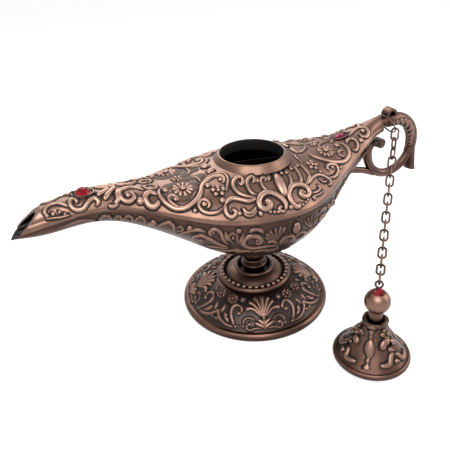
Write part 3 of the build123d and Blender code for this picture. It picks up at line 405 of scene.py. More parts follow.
# One third of the lid's cast lines and drops, which is repeated
LID_SCROLLS = {
    "left foot scroll": (1.2, ((356.6, 361.6), (349.9, 359.6), (346.2, 356), (347.9, 350.7),
        (348.9, 345.6))),
    "left leaf": (1.6, ((356.4, 343.8), (357, 338.6), (353.2, 334.4), (350, 336))),
    "left stem": (0.8, ((351.6, 331.8), (355, 327), (357.9, 322.4))),
    "right foot scroll": (1.2, ((379.4, 365.7), (385.1, 366), (389.6, 363.6), (390.4, 358),
        (391.8, 353.4), (396.2, 350.7))),
    "right leaf": (1.6, ((383.1, 350.4), (382.5, 345), (385.8, 341.4), (389.6, 342.8))),
    "right stem": (0.8, ((387.6, 328.4), (391.4, 335.5), (394.8, 341.4), (400.6, 345))),
}

LID_DROPS = {
    "left ball": (1.5, (341.8, 349.2), (344, 349)),
    "left pearl a": (1.1, (349.6, 341.2), (351.6, 341)),
    "left pearl b": (1.0, (348.2, 337.4), (350.2, 337)),
    "left pearl c": (1.1, (360.4, 331.4), (362, 330.2)),
    "left pearl d": (0.9, (359.6, 326.2), (360.8, 325.4)),
    "right pearl a": (1.2, (381.4, 334.8), (382.8, 334.8)),
    "right pearl b": (0.8, (384.4, 337.6), (385.8, 337.4)),
    "right pearl c": (1.0, (383.2, 331), (384.4, 330.6)),
    "right pearl d": (1.2, (389, 349.6), (390.6, 349.2)),
    "right pearl e": (0.9, (393, 347), (394.6, 346.6)),
    "right ball": (1.5, (395.2, 361), (397.6, 361)),
    "left petal a": (1.2, (347.6, 339.2), (349.8, 337.6)),
    "left petal b": (1.1, (343.2, 341.6), (345.6, 339.8)),
    "left petal c": (0.9, (344.6, 345.6), (346.4, 344.8)),
    "left pearl e": (0.9, (357.6, 332.6), (359.2, 331.8)),
    "left pearl f": (0.8, (362, 333.4), (363.4, 332.8)),
    "right petal": (1.2, (393, 348.6), (396.2, 346.4)),
    "right bead a": (0.8, (394.8, 356.2), (395.8, 355.4)),
    "right bead b": (0.8, (396.9, 353.7), (397.8, 352.9)),
    "right bead c": (0.7, (398.7, 351.9), (399.6, 351.1)),
}

# The flat baluster: rows of height, left edge and right edge in pixels, and the steps between rows
BALUSTER_ROWS = (
    (326.5, 366.4, 376.9), (329.5, 367.4, 376), (332.1, 368.5, 374.5), (335.2, 369.4, 372.7),
    (337.6, 368.5, 373.2), (339.7, 369.6, 371.9), (342.4, 366.4, 373.9), (345.5, 364.8, 375),
    (348.5, 364.1, 375.2), (351.5, 364.4, 374.8), (354.5, 365.2, 373.9), (358.2, 367, 370.6),
    (361.2, 365.1, 369.9), (364.2, 366.4, 369.1), (367, 362.6, 370.6), (369.6, 362.4, 370.4)
)
BALUSTER_STEPS = 3
LID_REPEATS = 3

# How a cast line is drawn: the steps between two places, how full it stays towards its ends, the half
# width in millimetres that it never goes below, and the fewest places that make one
LINE_STEPS = 5
LINE_FULLNESS = 5
THINNEST = 0.03
FEWEST_PLACES = 3

# A smooth line's handle is one part in this many of the way between the places on both sides of it
BEZIER_PARTS = 6

# Drops and beads: the steps from the middle to an end, and the height of a bead over its half width
DROP_STEPS = 5
BEAD_STEPS = 4
BEAD_LIFT = 1.0

# Ribs and petals: the share of the width at the root, and where the tip starts to round off
RIB_ROOT = 0.45
RIB_TIP = 0.75

# Flowers: where a petal starts and its steps, the most petals of a rosette and how full they are,
# then the size and rise of the eye
PETAL_ROOT = 0.3
PETAL_STEPS = 6
ROSETTE_PETALS = 6
ROSETTE_FULLNESS = 2.6
EYE_SHARE = 0.27
EYE_RISE = 0.5

# How round a bar is: Blender's bevel resolution for washes, reliefs and wire, then the steps of a link
WASH_ROUNDNESS = 1
RELIEF_ROUNDNESS = 2
WIRE_ROUNDNESS = 3
LINK_STEPS = 48

# The deepest that a cast line goes into a wall, and the height that counts as a full crest
SINK_LIMIT = MM
CREST_HEIGHT = MM

# Which faces are outside: the height of the body's middle line, and how far the foot's faces look up
BODY_MIDDLE = 0.076
FOOT_FACING = 0.05

# The upward direction, a place above the whole lamp, and the distance within which vertices are one
UP = Vector((0, 0, 1))
HIGH_ABOVE = Vector((0, 0, 0.1))
WELD = 0.000001

# Copper: the scales of its clouds and grain, where each soft step starts and ends, the soft edge of
# the foot's dark band, how far the roughness strays, and the cast skin
CLOUD_SCALE = 90.0
CLOUD_DETAIL = 4.0
GRAIN_SCALE = 1600.0
GRAIN_DETAIL = 3.0
CLOUD_STEP = (0.3, 0.7)
CORNER_STEP = (0.35, 0.97)
# Soft step of the painted shade in deep hollows
PAINTED_SHADE_STEP = (0.2, 0.55)
# Soft step of the crests' rubbed wear and painted highlight
CREST_STEP = (0.35, 0.95)
FLANK_STEP = (-0.1, 0.4)
GROUND_STEP = (0.74, 1.0)
BAND_EDGE = 0.0008
SMOOTHER = 0.06
ROUGHER = 0.1
SKIN_STRENGTH = 0.05
SKIN_DEPTH = 0.0003
HOLLOW_SAMPLES = 8

# Dark wash, then glass stones: clouds, soft step, depth of colour, roughness and shine
WASH_SCALE = 400.0
WASH_DETAIL = 3.0
WASH_STEP = (0.45, 0.8)
WASH_ROUGHNESS = 0.62
WASH_SHINE = 0.25
STONE_SCALE = 420.0
STONE_STEP = (0.15, 0.75)
STONE_DEPTH = 0.3
STONE_ROUGHNESS = 0.08
STONE_SHINE = 0.16

# The sockets of the mix node that are for colours
MIX_FIRST = 6
MIX_SECOND = 7
MIX_RESULT = 2

# The stage: each light's place, width and power, then the table and the white room
LIGHTS = {
    "key": ((-0.25, -0.35, 0.55), 0.5, 4.0),
    "fill": ((0.5, -0.25, 0.3), 0.4, 1.6),
    "back": ((0.1, 0.5, 0.5), 0.5, 2.5),
}
LIGHTS_AIM = Vector((0, 0, 0.05))
NEAREST_VIEW = 0.01
WHITE = (1, 1, 1, 1)
TABLE_SIZE = 4.0
TABLE_COLOUR = (0.8, 0.8, 0.8, 1)
TABLE_ROUGHNESS = 0.9
TABLE_GLOW = 0.7
TABLE_SHADE = (0.46, 0.46, 0.46, 1)
ROOM_LIGHT = 0.55
ROOM_SEEN = 1.0


def camera_axes():
    """The right, up and forward directions of the photograph's camera."""
    level = LOOK_WAY.cross(UP).normalized()
    rise = level.cross(LOOK_WAY)
    right = level * math.cos(CAMERA_ROLL) + rise * math.sin(CAMERA_ROLL)
    up = rise * math.cos(CAMERA_ROLL) - level * math.sin(CAMERA_ROLL)
    return right, up, LOOK_WAY


def sight_line(pixel):
    """The direction from the camera through one pixel of the photograph."""
    right, up, forward = camera_axes()
    across = pixel[0] - PICTURE_SIDE / 2
    down = pixel[1] - PICTURE_SIDE / 2
    return (forward * FOCAL_PIXELS + right * across - up * down).normalized()


def outer_surface(names, is_outer):
    """The faces of some CAD nodes that can be seen from outside, for casting rays on."""
    places = []
    faces = []
    for name in names:
        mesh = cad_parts[name].data
        first = len(places)
        places.extend(vertex.co.copy() for vertex in mesh.vertices)
        for face in mesh.polygons:
            if is_outer(face.center, face.normal):
                faces.append([first + corner for corner in face.vertices])
    return BVHTree.FromPolygons(places, faces)


def seen(surface, pixel):
    """The place and normal where a pixel's sight line meets a surface, or nothing."""
    place, normal, _, _ = surface.ray_cast(EYE_PLACE, sight_line(pixel))
    return (place, normal) if place else None


def turns(count):
    """The angles of a number of things spread evenly round a circle."""
    return [2 * math.pi * index / count for index in range(count)]


def smooth_line(points, steps):
    """A smooth curve through points, with the same number of steps between each two."""
    points = [Vector(point) for point in points]
    ways = []
    for index in range(len(points)):
        before = points[max(index - 1, 0)]
        after = points[min(index + 1, len(points) - 1)]
        ways.append((after - before) / BEZIER_PARTS)
    line = []
    for index in range(len(points) - 1):
        run = interpolate_bezier(points[index], points[index] + ways[index],
                                 points[index + 1] - ways[index + 1], points[index + 1], steps + 1)
        line.extend(run[:-1])
    line.append(points[-1])
    return line


def swell(share, fullness):
    """How wide a cast line is at a share of its length: round at both ends."""
    return max((1 - abs(2 * share - 1) ** fullness), 0) ** 0.5


def stroke(places, half_width, fullness):
    """A cast line: places in metres, each with its half width in millimetres."""
    last = len(places) - 1
    return [(place, max(half_width * swell(index / last, fullness), THINNEST))
            for index, place in enumerate(places)]


def traced(surface, pixels):
    """The places on a surface along a smooth line through pixels of the photograph."""
    hits = [seen(surface, pixel) for pixel in smooth_line(pixels, LINE_STEPS)]
    return [hit[0] for hit in hits if hit]


def drawn(surface, pixels, half_width):
    """A cast line drawn over the photograph and laid on a surface."""
    places = traced(surface, pixels)
    return [stroke(places, half_width, LINE_FULLNESS)] if len(places) >= FEWEST_PLACES else []


def all_drawn(surface, lines, weight=1):
    """Every line of a table, drawn over the photograph and laid on a surface."""
    strokes = []
    for half_width, pixels in lines.values():
        strokes += drawn(surface, pixels, half_width * weight)
    return strokes


def fanned(places, half_width):
    """A rib or petal: narrow at its root, wider outwards and round at its tip."""
    last = max(len(places) - 1, 1)
    line = []
    for index, place in enumerate(places):
        share = index / last
        past_tip = max(share - RIB_TIP, 0) / (1 - RIB_TIP)
        tip = max(1 - past_tip ** 2, 0) ** 0.5
        line.append((place, max(half_width * (RIB_ROOT + (1 - RIB_ROOT) * share) * tip, THINNEST)))
    return line


def ray_leaf(surface, pixels, half_width):
    """A leaf's rib, drawn from its root to its tip."""
    places = traced(surface, pixels)
    return [fanned(places, half_width)] if len(places) >= FEWEST_PLACES else []


def bead(middle, reach, half_width, steps):
    """A bead, round or long: its half length is a vector, and its half width is in millimetres."""
    angles = [math.pi / 2 * step / steps for step in range(-steps, steps + 1)]
    return [(middle + reach * math.sin(angle), max(half_width * math.cos(angle), THINNEST))
            for angle in angles]


def drop(surface, ends, half_width):
    """A pearl, bud or almond leaf between two ends, as long as it is wide or longer."""
    hits = [seen(surface, end) for end in ends]
    if not all(hits):
        return []
    middle = (hits[0][0] + hits[1][0]) / 2
    way = hits[1][0] - hits[0][0]
    half_length = max(way.length / 2, half_width * MM)
    way.normalize()
    return [bead(middle, way * half_length, half_width, DROP_STEPS)]


def flower(surface, pixel, radius, petal, petals):
    """A flower flat on a surface: petals round a raised eye."""
    hit = seen(surface, pixel)
    if not hit:
        return []
    place, normal = hit
    across = (Vector((1, 0, 0)) - normal * normal.x).normalized()
    along = normal.cross(across)
    strokes = []
    for turn in turns(petals):
        way = across * math.cos(turn) + along * math.sin(turn)
        line = [place + way * radius * MM * (PETAL_ROOT + (1 - PETAL_ROOT) * step / PETAL_STEPS)
                for step in range(PETAL_STEPS + 1)]
        laid = [surface.find_nearest(point)[0] for point in line]
        is_rosette = petals <= ROSETTE_PETALS
        strokes.append(stroke(laid, petal, ROSETTE_FULLNESS) if is_rosette else fanned(laid, petal))
    eye = radius * EYE_SHARE
    strokes.append(bead(place + normal * petal * EYE_RISE * MM, across * eye * MM, eye, BEAD_STEPS))
    return strokes


def group_strokes(surface, scrolls, drops, flowers):
    """Every cast line of one group of reliefs."""
    weight = bpy.context.scene.lamp_relief.weight
    strokes = all_drawn(surface, scrolls, weight)
    for half_width, *ends in drops.values():
        strokes += drop(surface, ends, half_width * weight)
    for radius, petal, petals, pixel in flowers.values():
        strokes += flower(surface, pixel, radius, petal, petals)
    return strokes


def flat_turning(surface, rows):
    """A flat piece with a turned outline, from rows of height, left edge and right edge."""
    line = []
    for down, left, right in smooth_line(rows, BALUSTER_STEPS):
        hits = [seen(surface, (across, down)) for across in (left, right)]
        if all(hits):
            line.append(((hits[0][0] + hits[1][0]) / 2, (hits[1][0] - hits[0][0]).length / 2 / MM))
    return [line]


def near_half(strokes):
    """The stretches of cast lines on the near side of the lamp's middle plane."""
    runs = [[(place, half_width) for place, half_width in line if place.y < 0] for line in strokes]
    return [run for run in runs if len(run) >= FEWEST_PLACES]


def in_sector(strokes, axis, bearing, half_angle):
    """The stretches of cast lines in one sector round an upright axis, to both sides of a bearing."""
    kept = []
    for line in strokes:
        run = []
        for place, half_width in line:
            turn = math.atan2(place.y - axis.y, place.x - axis.x) - bearing
            turn = (turn + math.pi) % (2 * math.pi) - math.pi
            if abs(turn) <= half_angle:
                run.append((place, half_width))
        if len(run) >= FEWEST_PLACES:
            kept.append(run)
    return kept


def seam_heights():
    """The height of the lower shell's top edge, for each step along the lamp."""
    heights = {}
    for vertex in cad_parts["lower_shell"].data.vertices:
        step = round(vertex.co.x / SEAM_STEP)
        heights[step] = max(heights.get(step, 0), vertex.co.z)
    return heights


def tail_echo(strokes, surface):
    """The spout's cast lines again, turned round to run under the tail."""
    heights = seam_heights()
    echo = []
    for line in strokes:
        if line[len(line) // 2][0].x > -TAIL_ECHO_START:
            continue
        run = []
        for place, half_width in line:
            out = Vector((0, place.y, place.z - heights[round(place.x / SEAM_STEP)])).normalized()
            along = -place.x * TAIL_ECHO_SHARE
            middle = Vector((along, 0, heights.get(round(along / SEAM_STEP), 0)))
            hit = surface.ray_cast(middle + out * TAIL_ECHO_REACH, -out)[0]
            if hit and middle.z:
                run.append((hit, half_width * TAIL_ECHO_WEIGHT))
        echo.append(run)
    return echo


def washed(strokes, width):
    """The same cast lines, wider by the dark wash that lies along their feet."""
    return [[(place, half_width + width) for place, half_width in line] for line in strokes]


def wire_mesh(name, strokes, cyclic=False, roundness=RELIEF_ROUNDNESS):
    """A mesh of round bars along strokes of place and half width."""
    curve = bpy.data.curves.new(name, "CURVE")
    curve.dimensions = "3D"
    curve.bevel_depth = MM
    curve.bevel_resolution = roundness
    curve.use_fill_caps = not cyclic
    for line in strokes:
        spline = curve.splines.new("POLY")
        spline.points.add(len(line) - 1)
        for point, (place, half_width) in zip(spline.points, line):
            point.co = (*place, 1)
            point.radius = half_width
        spline.use_cyclic_u = cyclic
    holder = bpy.data.objects.new(name, curve)
    bpy.context.scene.collection.objects.link(holder)
    depsgraph = bpy.context.evaluated_depsgraph_get()
    mesh = bpy.data.meshes.new_from_object(holder.evaluated_get(depsgraph))
    bpy.data.objects.remove(holder)
    bpy.data.curves.remove(curve)
    return mesh


def press(mesh, surface, lift, sink):
    """Lay bars down on a surface: flatter above it, and kept within the wall below it."""
    crest = mesh.attributes.new("crest", "FLOAT", "POINT")
    for vertex in mesh.vertices:
        place, normal, _, _ = surface.find_nearest(vertex.co)
        height = (vertex.co - place).dot(normal)
        pressed = height * lift if height > 0 else max(height * sink, -SINK_LIMIT)
        vertex.co += normal * (pressed - height)
        crest.data[vertex.index].value = max(min(height / CREST_HEIGHT, 1), 0)


def piece(name, mesh, finish, body, smooth=True):
    """A finished piece that rides on a body."""
    mesh.name = name
    mesh.materials.clear()
    mesh.materials.append(finish_named(finish))
    for face in mesh.polygons:
        face.use_smooth = smooth
    made = bpy.data.objects.new(name, mesh)
    bpy.context.scene.collection.objects.link(made)
    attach(made, body)
    return made


def lay(name, strokes, surface, body, copies, lift, finish="relief copper"):
    """Lay cast lines on a surface with the dark wash along their feet, and repeat both."""
    relief = bpy.context.scene.lamp_relief
    mesh = wire_mesh(name, strokes)
    press(mesh, surface, lift, relief.sink)
    made = piece(name, edited(mesh, copies), finish, body)
    wash(name + "_wash", washed(strokes, relief.wash_width / MM), surface, body, copies)
    return made


def wash(name, strokes, surface, body, copies, finish="dark wash"):
    """Lay a flat wash on a surface along some lines."""
    relief = bpy.context.scene.lamp_relief
    mesh = wire_mesh(name, strokes, roundness=WASH_ROUNDNESS)
    press(mesh, surface, relief.wash_lift, relief.sink)
    return piece(name, edited(mesh, copies), finish, body)


def edited(mesh, change):
    """Run one change on a mesh through a bmesh."""
    work = bmesh.new()
    work.from_mesh(mesh)
    change(work)
    bmesh.ops.recalc_face_normals(work, faces=work.faces)
    work.to_mesh(mesh)
    work.free()
    return mesh


def merged_copy(name):
    """A copy of a CAD node's mesh, its loose triangles merged, to be shaped further."""
    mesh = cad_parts[name].data.copy()
    if "custom_normal" in mesh.attributes:
        mesh.attributes.remove(mesh.attributes["custom_normal"])
    work = bmesh.new()
    work.from_mesh(mesh)
    bmesh.ops.remove_doubles(work, verts=work.verts, dist=WELD)
    work.to_mesh(mesh)
    work.free()
    return mesh


def everything(work):
    """All the vertices, edges and faces of a bmesh."""
    return work.verts[:] + work.edges[:] + work.faces[:]


def duplicated(work, geometry):
    """The vertices of a fresh copy of some geometry."""
    copy = bmesh.ops.duplicate(work, geom=geometry)
    return [item for item in copy["geom"] if isinstance(item, bmesh.types.BMVert)]


def mirrored(work):
    """Add the far side's copy of the near side."""
    bmesh.ops.scale(work, vec=(1, -1, 1), verts=duplicated(work, everything(work)))


def repeated(centre, count):
    """A change that repeats a mesh round an upright axis."""
    def change(work):
        geometry = everything(work)
        for angle in turns(count)[1:]:
            turn = Matrix.Rotation(angle, 3, "Z")
            bmesh.ops.rotate(work, verts=duplicated(work, geometry), cent=centre, matrix=turn)
    return change


def dress(name, finish):
    """Give a CAD node its finish."""
    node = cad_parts[name]
    node.data.materials.clear()
    node.data.materials.append(finish_named(finish))


def any_side(place, normal):
    """Every face of a solid piece."""
    return True


def body_side(place, normal):
    """Whether a face of the two shells looks outwards."""
    return normal.y * place.y + normal.z * (place.z - BODY_MIDDLE) > 0


def foot_side(place, normal):
    """Whether a face of the foot looks up."""
    return normal.z > FOOT_FACING


def lid_side(place, normal):
    """Whether a face of the lid looks outwards."""
    return normal.x * (place.x - LID_AXIS.x) + normal.y * (place.y - LID_AXIS.y) > 0


def upright_axis(name):
    """The upright middle line of a CAD node, on the table."""
    low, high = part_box(name)
    return Vector(((low[0] + high[0]) / 2, (low[1] + high[1]) / 2, 0))


LID_AXIS = upright_axis("lid_shell")


def new_material(name):
    """A material with nodes, its tree and its shader."""
    material = bpy.data.materials.new(name)
    material.use_nodes = True
    tree = material.node_tree
    return material, tree, tree.nodes["Principled BSDF"]


def put(tree, kind, **settings):
    """A node with some of its settings and inputs."""
    made = tree.nodes.new(kind)
    for name, value in settings.items():
        if name in made.inputs:
            made.inputs[name].default_value = value
        else:
            setattr(made, name, value)
    return made


def pattern(tree, kind, **settings):
    """A texture that stays with its piece."""
    texture = put(tree, kind, **settings)
    where = put(tree, "ShaderNodeTexCoord")
    tree.links.new(where.outputs["Object"], texture.inputs["Vector"])
    return texture


def openness(tree, reach):
    """How open a place is: low in corners and hollows."""
    hollow = put(tree, "ShaderNodeAmbientOcclusion", samples=HOLLOW_SAMPLES, Distance=reach)
    return hollow.outputs["AO"]


def ramp(tree, source, low, high):
    """A soft step from 0 to 1 between two values."""
    step = put(tree, "ShaderNodeMapRange", interpolation_type="SMOOTHSTEP")
    step.inputs["From Min"].default_value = low
    step.inputs["From Max"].default_value = high
    tree.links.new(source, step.inputs["Value"])
    return step.outputs["Result"]


def blend_colours(tree, share, first, second):
    """A mix of two colours, each a value or another node's output."""
    mix = put(tree, "ShaderNodeMix", data_type="RGBA")
    tree.links.new(share, mix.inputs["Factor"])
    for socket, colour in ((mix.inputs[MIX_FIRST], first), (mix.inputs[MIX_SECOND], second)):
        if isinstance(colour, bpy.types.NodeSocket):
            tree.links.new(colour, socket)
        else:
            socket.default_value = (*colour, 1)
    return mix.outputs[MIX_RESULT]


def combined(tree, operation, first, second):
    """Two values put through one step of arithmetic."""
    made = put(tree, "ShaderNodeMath", operation=operation)
    tree.links.new(first, made.inputs[0])
    tree.links.new(second, made.inputs[1])
    return made.outputs[0]


def ring_band(tree, inner, outer):
    """1 between two radii round the lamp's upright axis, and 0 elsewhere."""
    where = put(tree, "ShaderNodeTexCoord")
    parts = put(tree, "ShaderNodeSeparateXYZ")
    tree.links.new(where.outputs["Object"], parts.inputs[0])
    flat = put(tree, "ShaderNodeCombineXYZ")
    for axis in ("X", "Y"):
        tree.links.new(parts.outputs[axis], flat.inputs[axis])
    reach = put(tree, "ShaderNodeVectorMath", operation="LENGTH")
    tree.links.new(flat.outputs[0], reach.inputs[0])
    return combined(tree, "MULTIPLY", ramp(tree, reach.outputs["Value"], inner, inner + BAND_EDGE),
                    ramp(tree, reach.outputs["Value"], outer, outer - BAND_EDGE))


def copper(name, finish, bright, shade, crest=None, dark_band=None):
    """Cast copper: bright where it is rubbed, dark patina in its hollows, painted shade in deep hollows such
    as the inside of the lamp, and a fine cast skin.
    """
    material, tree, shader = new_material(name)
    shader.inputs["Metallic"].default_value = 1
    cloud = pattern(tree, "ShaderNodeTexNoise", Scale=CLOUD_SCALE, Detail=CLOUD_DETAIL)
    grain = pattern(tree, "ShaderNodeTexNoise", Scale=GRAIN_SCALE, Detail=GRAIN_DETAIL)
    colour = blend_colours(tree, ramp(tree, cloud.outputs[0], *CLOUD_STEP), bright, shade)
    # Patina darkens the corners, and painted shade darkens deep hollows such as the inside of the lamp and
    # the stem's cup
    free_of_patina_and_shade = combined(tree, "MULTIPLY", ramp(tree, openness(tree, finish.patina_reach), *CORNER_STEP),
                      ramp(tree, openness(tree, finish.painted_shade_reach), *PAINTED_SHADE_STEP))
    if crest:
        height = put(tree, "ShaderNodeAttribute", attribute_name="crest").outputs["Fac"]
        # Relief tops lighten towards the crest colour as rubbed wear and painted highlight, and their feet
        # darken with patina
        colour = blend_colours(tree, ramp(tree, height, *CREST_STEP), colour, crest)
        free_of_patina_and_shade = combined(tree, "MULTIPLY", free_of_patina_and_shade, ramp(tree, height, *FLANK_STEP))
    else:
        between = ramp(tree, openness(tree, finish.ground_reach), *GROUND_STEP)
        ground = tuple(part * finish.ground_share for part in shade)
        colour = blend_colours(tree, between, ground, colour)
    if dark_band:
        colour = blend_colours(tree, ring_band(tree, *dark_band), colour, finish.ground_colour)
    tree.links.new(blend_colours(tree, free_of_patina_and_shade, finish.patina_and_painted_shade, colour), shader.inputs["Base Color"])
    gloss = put(tree, "ShaderNodeMapRange")
    gloss.inputs["To Min"].default_value = finish.roughness - SMOOTHER
    gloss.inputs["To Max"].default_value = finish.roughness + ROUGHER
    tree.links.new(cloud.outputs[0], gloss.inputs["Value"])
    tree.links.new(gloss.outputs[0], shader.inputs["Roughness"])
    skin = put(tree, "ShaderNodeBump", Strength=SKIN_STRENGTH, Distance=SKIN_DEPTH)
    tree.links.new(grain.outputs[0], skin.inputs["Height"])
    tree.links.new(skin.outputs[0], shader.inputs["Normal"])
    return material


def dark_wash(name, colour, worn):
    """Dull dark wash, left along the feet of the reliefs after rubbing."""
    material, tree, shader = new_material(name)
    cloud = pattern(tree, "ShaderNodeTexNoise", Scale=WASH_SCALE, Detail=WASH_DETAIL)
    tint = blend_colours(tree, ramp(tree, cloud.outputs[0], *WASH_STEP), colour, worn)
    tree.links.new(tint, shader.inputs["Base Color"])
    shader.inputs["Roughness"].default_value = WASH_ROUGHNESS
    shader.inputs["Specular IOR Level"].default_value = WASH_SHINE
    return material


def stone(name, colour):
    """A glass stone: deep colour under a clear polish."""
    material, tree, shader = new_material(name)
    cloud = pattern(tree, "ShaderNodeTexVoronoi", Scale=STONE_SCALE)
    deep = tuple(part * STONE_DEPTH for part in colour)
    tint = blend_colours(tree, ramp(tree, cloud.outputs["Distance"], *STONE_STEP), colour, deep)
    tree.links.new(tint, shader.inputs["Base Color"])
    shader.inputs["Roughness"].default_value = STONE_ROUGHNESS
    shader.inputs["Specular IOR Level"].default_value = STONE_SHINE
    return material


def finish_named(name):
    """A finish, made once and then shared by its pieces."""
    found = bpy.data.materials.get(name)
    if found:
        return found
    finish = bpy.context.scene.lamp_finish
    relief = bpy.context.scene.lamp_relief
    makers = {
        "cast copper": lambda: copper(name, finish, finish.copper_colour, finish.copper_shade),
        "relief copper": lambda: copper(name, finish, finish.copper_colour, finish.copper_shade,
                                        crest=finish.crest_wear_and_painted_highlight),
        # Copies of the copper darkened as painted shade, for the handle, stem, lid, foot and their reliefs
        "painted shade copper": lambda: copper(name, finish, finish.painted_shade_copper_colour, finish.painted_shade_copper_and_wear_tone),
        "painted shade relief copper": lambda: copper(name, finish, finish.painted_shade_copper_colour, finish.painted_shade_copper_and_wear_tone,
                                             crest=finish.painted_shade_crest_and_highlight),
        "foot painted shade copper": lambda: copper(name, finish, finish.painted_shade_copper_colour, finish.painted_shade_copper_and_wear_tone,
                                      dark_band=(relief.foot_ground_inner, relief.foot_ground_outer)),
        # The lower shell's copper, darkened further as painted shade
        "belly painted shade copper": lambda: copper(name, finish, finish.belly_painted_shade_colour, finish.painted_shade_copper_and_wear_tone),
        "chain wire": lambda: copper(name, finish, finish.wire_colour, finish.wire_shade),
        "screw steel": lambda: copper(name, finish, finish.steel_colour, finish.steel_shade),
        "dark wash": lambda: dark_wash(name, finish.patina_and_painted_shade, finish.ground_colour),
        "ground copper": lambda: dark_wash(name, finish.field_colour, finish.painted_shade_copper_and_wear_tone),
        # Black painted shade inside the spout and the mouth
        "painted_shade_lining": lambda: dark_wash(name, finish.painted_shade_lining_colour, finish.painted_shade_lining_colour),
        "red stone": lambda: stone(name, finish.red_colour),
        "wine stone": lambda: stone(name, finish.wine_colour),
        "purple stone": lambda: stone(name, finish.purple_colour),
    }
    return makers[name]()


def colour_setting(name, description, default):
    """A colour that a user can change."""
    return bpy.props.FloatVectorProperty(name=name, description=description, subtype="COLOR", default=default)


def length_setting(name, description, default):
    """A length in metres that a user can change."""
    return bpy.props.FloatProperty(name=name, description=description, unit="LENGTH", default=default)


def share_setting(name, description, default):
    """A share that a user can change."""
    return bpy.props.FloatProperty(name=name, description=description, subtype="FACTOR", default=default)


class LampFinish(bpy.types.PropertyGroup):
    """Colours and polish of the lamp."""

    copper_colour: colour_setting("Copper", "Rubbed copper", (0.235, 0.135, 0.1))
    copper_shade: colour_setting("Copper shade", "Browner copper between", (0.15, 0.085, 0.063))
    # Lighter relief crests: rubbed wear and painted highlight
    crest_wear_and_painted_highlight: colour_setting("Crest", "Brightest copper, on top of the reliefs", (0.35, 0.215, 0.165))
    # Copies of the copper darkened as painted shade for handle, stem, lid and foot; the darker tone also
    # shows as wear in the dark fields
    painted_shade_copper_colour: colour_setting("Painted shade copper", "Darker copper of handle, foot and lid", (0.145, 0.078, 0.058))
    painted_shade_copper_and_wear_tone: colour_setting("Painted shade tone", "Browner painted shade copper between", (0.085, 0.045, 0.034))
    painted_shade_crest_and_highlight: colour_setting("Painted shade crest", "Painted shade copper on top of the reliefs", (0.225, 0.128, 0.098))
    # The lower shell, darkened further as painted shade
    belly_painted_shade_colour: colour_setting("Belly", "Ground under the belly's relief", (0.07, 0.039, 0.03))
    field_colour: colour_setting("Field", "Dark fields behind the flowers", (0.08, 0.05, 0.039))
    wire_colour: colour_setting("Wire", "Chain wire", (0.20, 0.115, 0.08))
    wire_shade: colour_setting("Wire shade", "Darker chain wire between", (0.11, 0.062, 0.045))
    steel_colour: colour_setting("Steel", "Screws and washer", (0.42, 0.41, 0.40))
    steel_shade: colour_setting("Steel shade", "Darker steel between", (0.28, 0.27, 0.26))
    # Patina in the hollows, and also the painted shade in deep hollows
    patina_and_painted_shade: colour_setting("Patina", "Dark patina in the hollows", (0.012, 0.009, 0.008))
    ground_colour: colour_setting("Foot ground", "Blackened ground of the foot, and worn wash",
                                  (0.04, 0.03, 0.027))
    # Black painted shade inside the mouth and the spout
    painted_shade_lining_colour: colour_setting("Painted shade lining", "Inside of the mouth and the spout", (0.002, 0.002, 0.002))
    red_colour: colour_setting("Red stone", "Stone on the spout", (0.42, 0.006, 0.018))
    wine_colour: colour_setting("Wine stone", "Stone on the knob", (0.2, 0.006, 0.014))
    purple_colour: colour_setting("Purple stone", "Stone at the tail", (0.26, 0.008, 0.06))
    patina_reach: length_setting("Patina reach", "How far patina reaches out of a corner", 0.003)
    # How far the painted shade reaches into deep hollows
    painted_shade_reach: length_setting("Painted shade reach", "How deep a hollow has to be to stay black", 0.05)
    ground_reach: length_setting("Ground reach", "How far the ground between reliefs stays brown", 0.008)
    ground_share: share_setting("Ground", "Brightness of the ground between reliefs", 0.62)
    roughness: share_setting("Roughness", "Roughness of the cast copper", 0.34)


class LampRelief(bpy.types.PropertyGroup):
    """Sizes of the reliefs and the wire."""

    lift: share_setting("Lift", "Height of a cast line over its half width", 0.85)
    sink: share_setting("Sink", "Depth of a cast line below the surface", 0.4)
    leaf_lift: share_setting("Leaf lift", "Height of a belly leaf over its half width", 0.5)
    plate_lift: share_setting("Plate lift", "Height of a flat plate over its half width", 0.32)
    weight: share_setting("Weight", "Width of a scroll or a drop over its drawn one", 1.15)
    wash_width: length_setting("Wash width", "How far the dark wash shows beside a cast line", 0.0008)
    wash_lift: share_setting("Wash lift", "Height of the wash over its half width", 0.12)
    bead_count: bpy.props.IntProperty(name="Beads", description="Beads on the foot's ring", default=34)
    bead_ring: length_setting("Bead ring", "Radius of the ring of beads", 0.0178)
    bead_radius: length_setting("Bead", "Radius of one bead", 0.00115)
    foot_ground_inner: length_setting("Ground inside", "Where the dark ground starts", 0.0212)
    foot_ground_outer: length_setting("Ground outside", "Where the dark ground ends", 0.0382)
    wire: length_setting("Wire", "Radius of the chain's wire", 0.00055)
    ring_wire: length_setting("Ring wire", "Radius of the jump ring's wire", 0.00045)


class LAMP_OT_castings(bpy.types.Operator):
    """Finish the castings, screws and washer"""

    bl_idname = "lamp.castings"
    bl_label = "Castings"

    def execute(self, context):
        for name in ("upper_shell", "knob_ball"):
            dress(name, "cast copper")
        # Handle, stem, lid and foot take copper darkened as painted shade, and the lower shell darker still
        for name in ("handle", "stem", "lid_shell"):
            dress(name, "painted shade copper")
        dress("lower_shell", "belly painted shade copper")
        dress("foot", "foot painted shade copper")
        dress("chain_eye", "chain wire")
        for name in ("foot_screw", "foot_washer", "knob_screw"):
            dress(name, "screw steel")
        return {"FINISHED"}


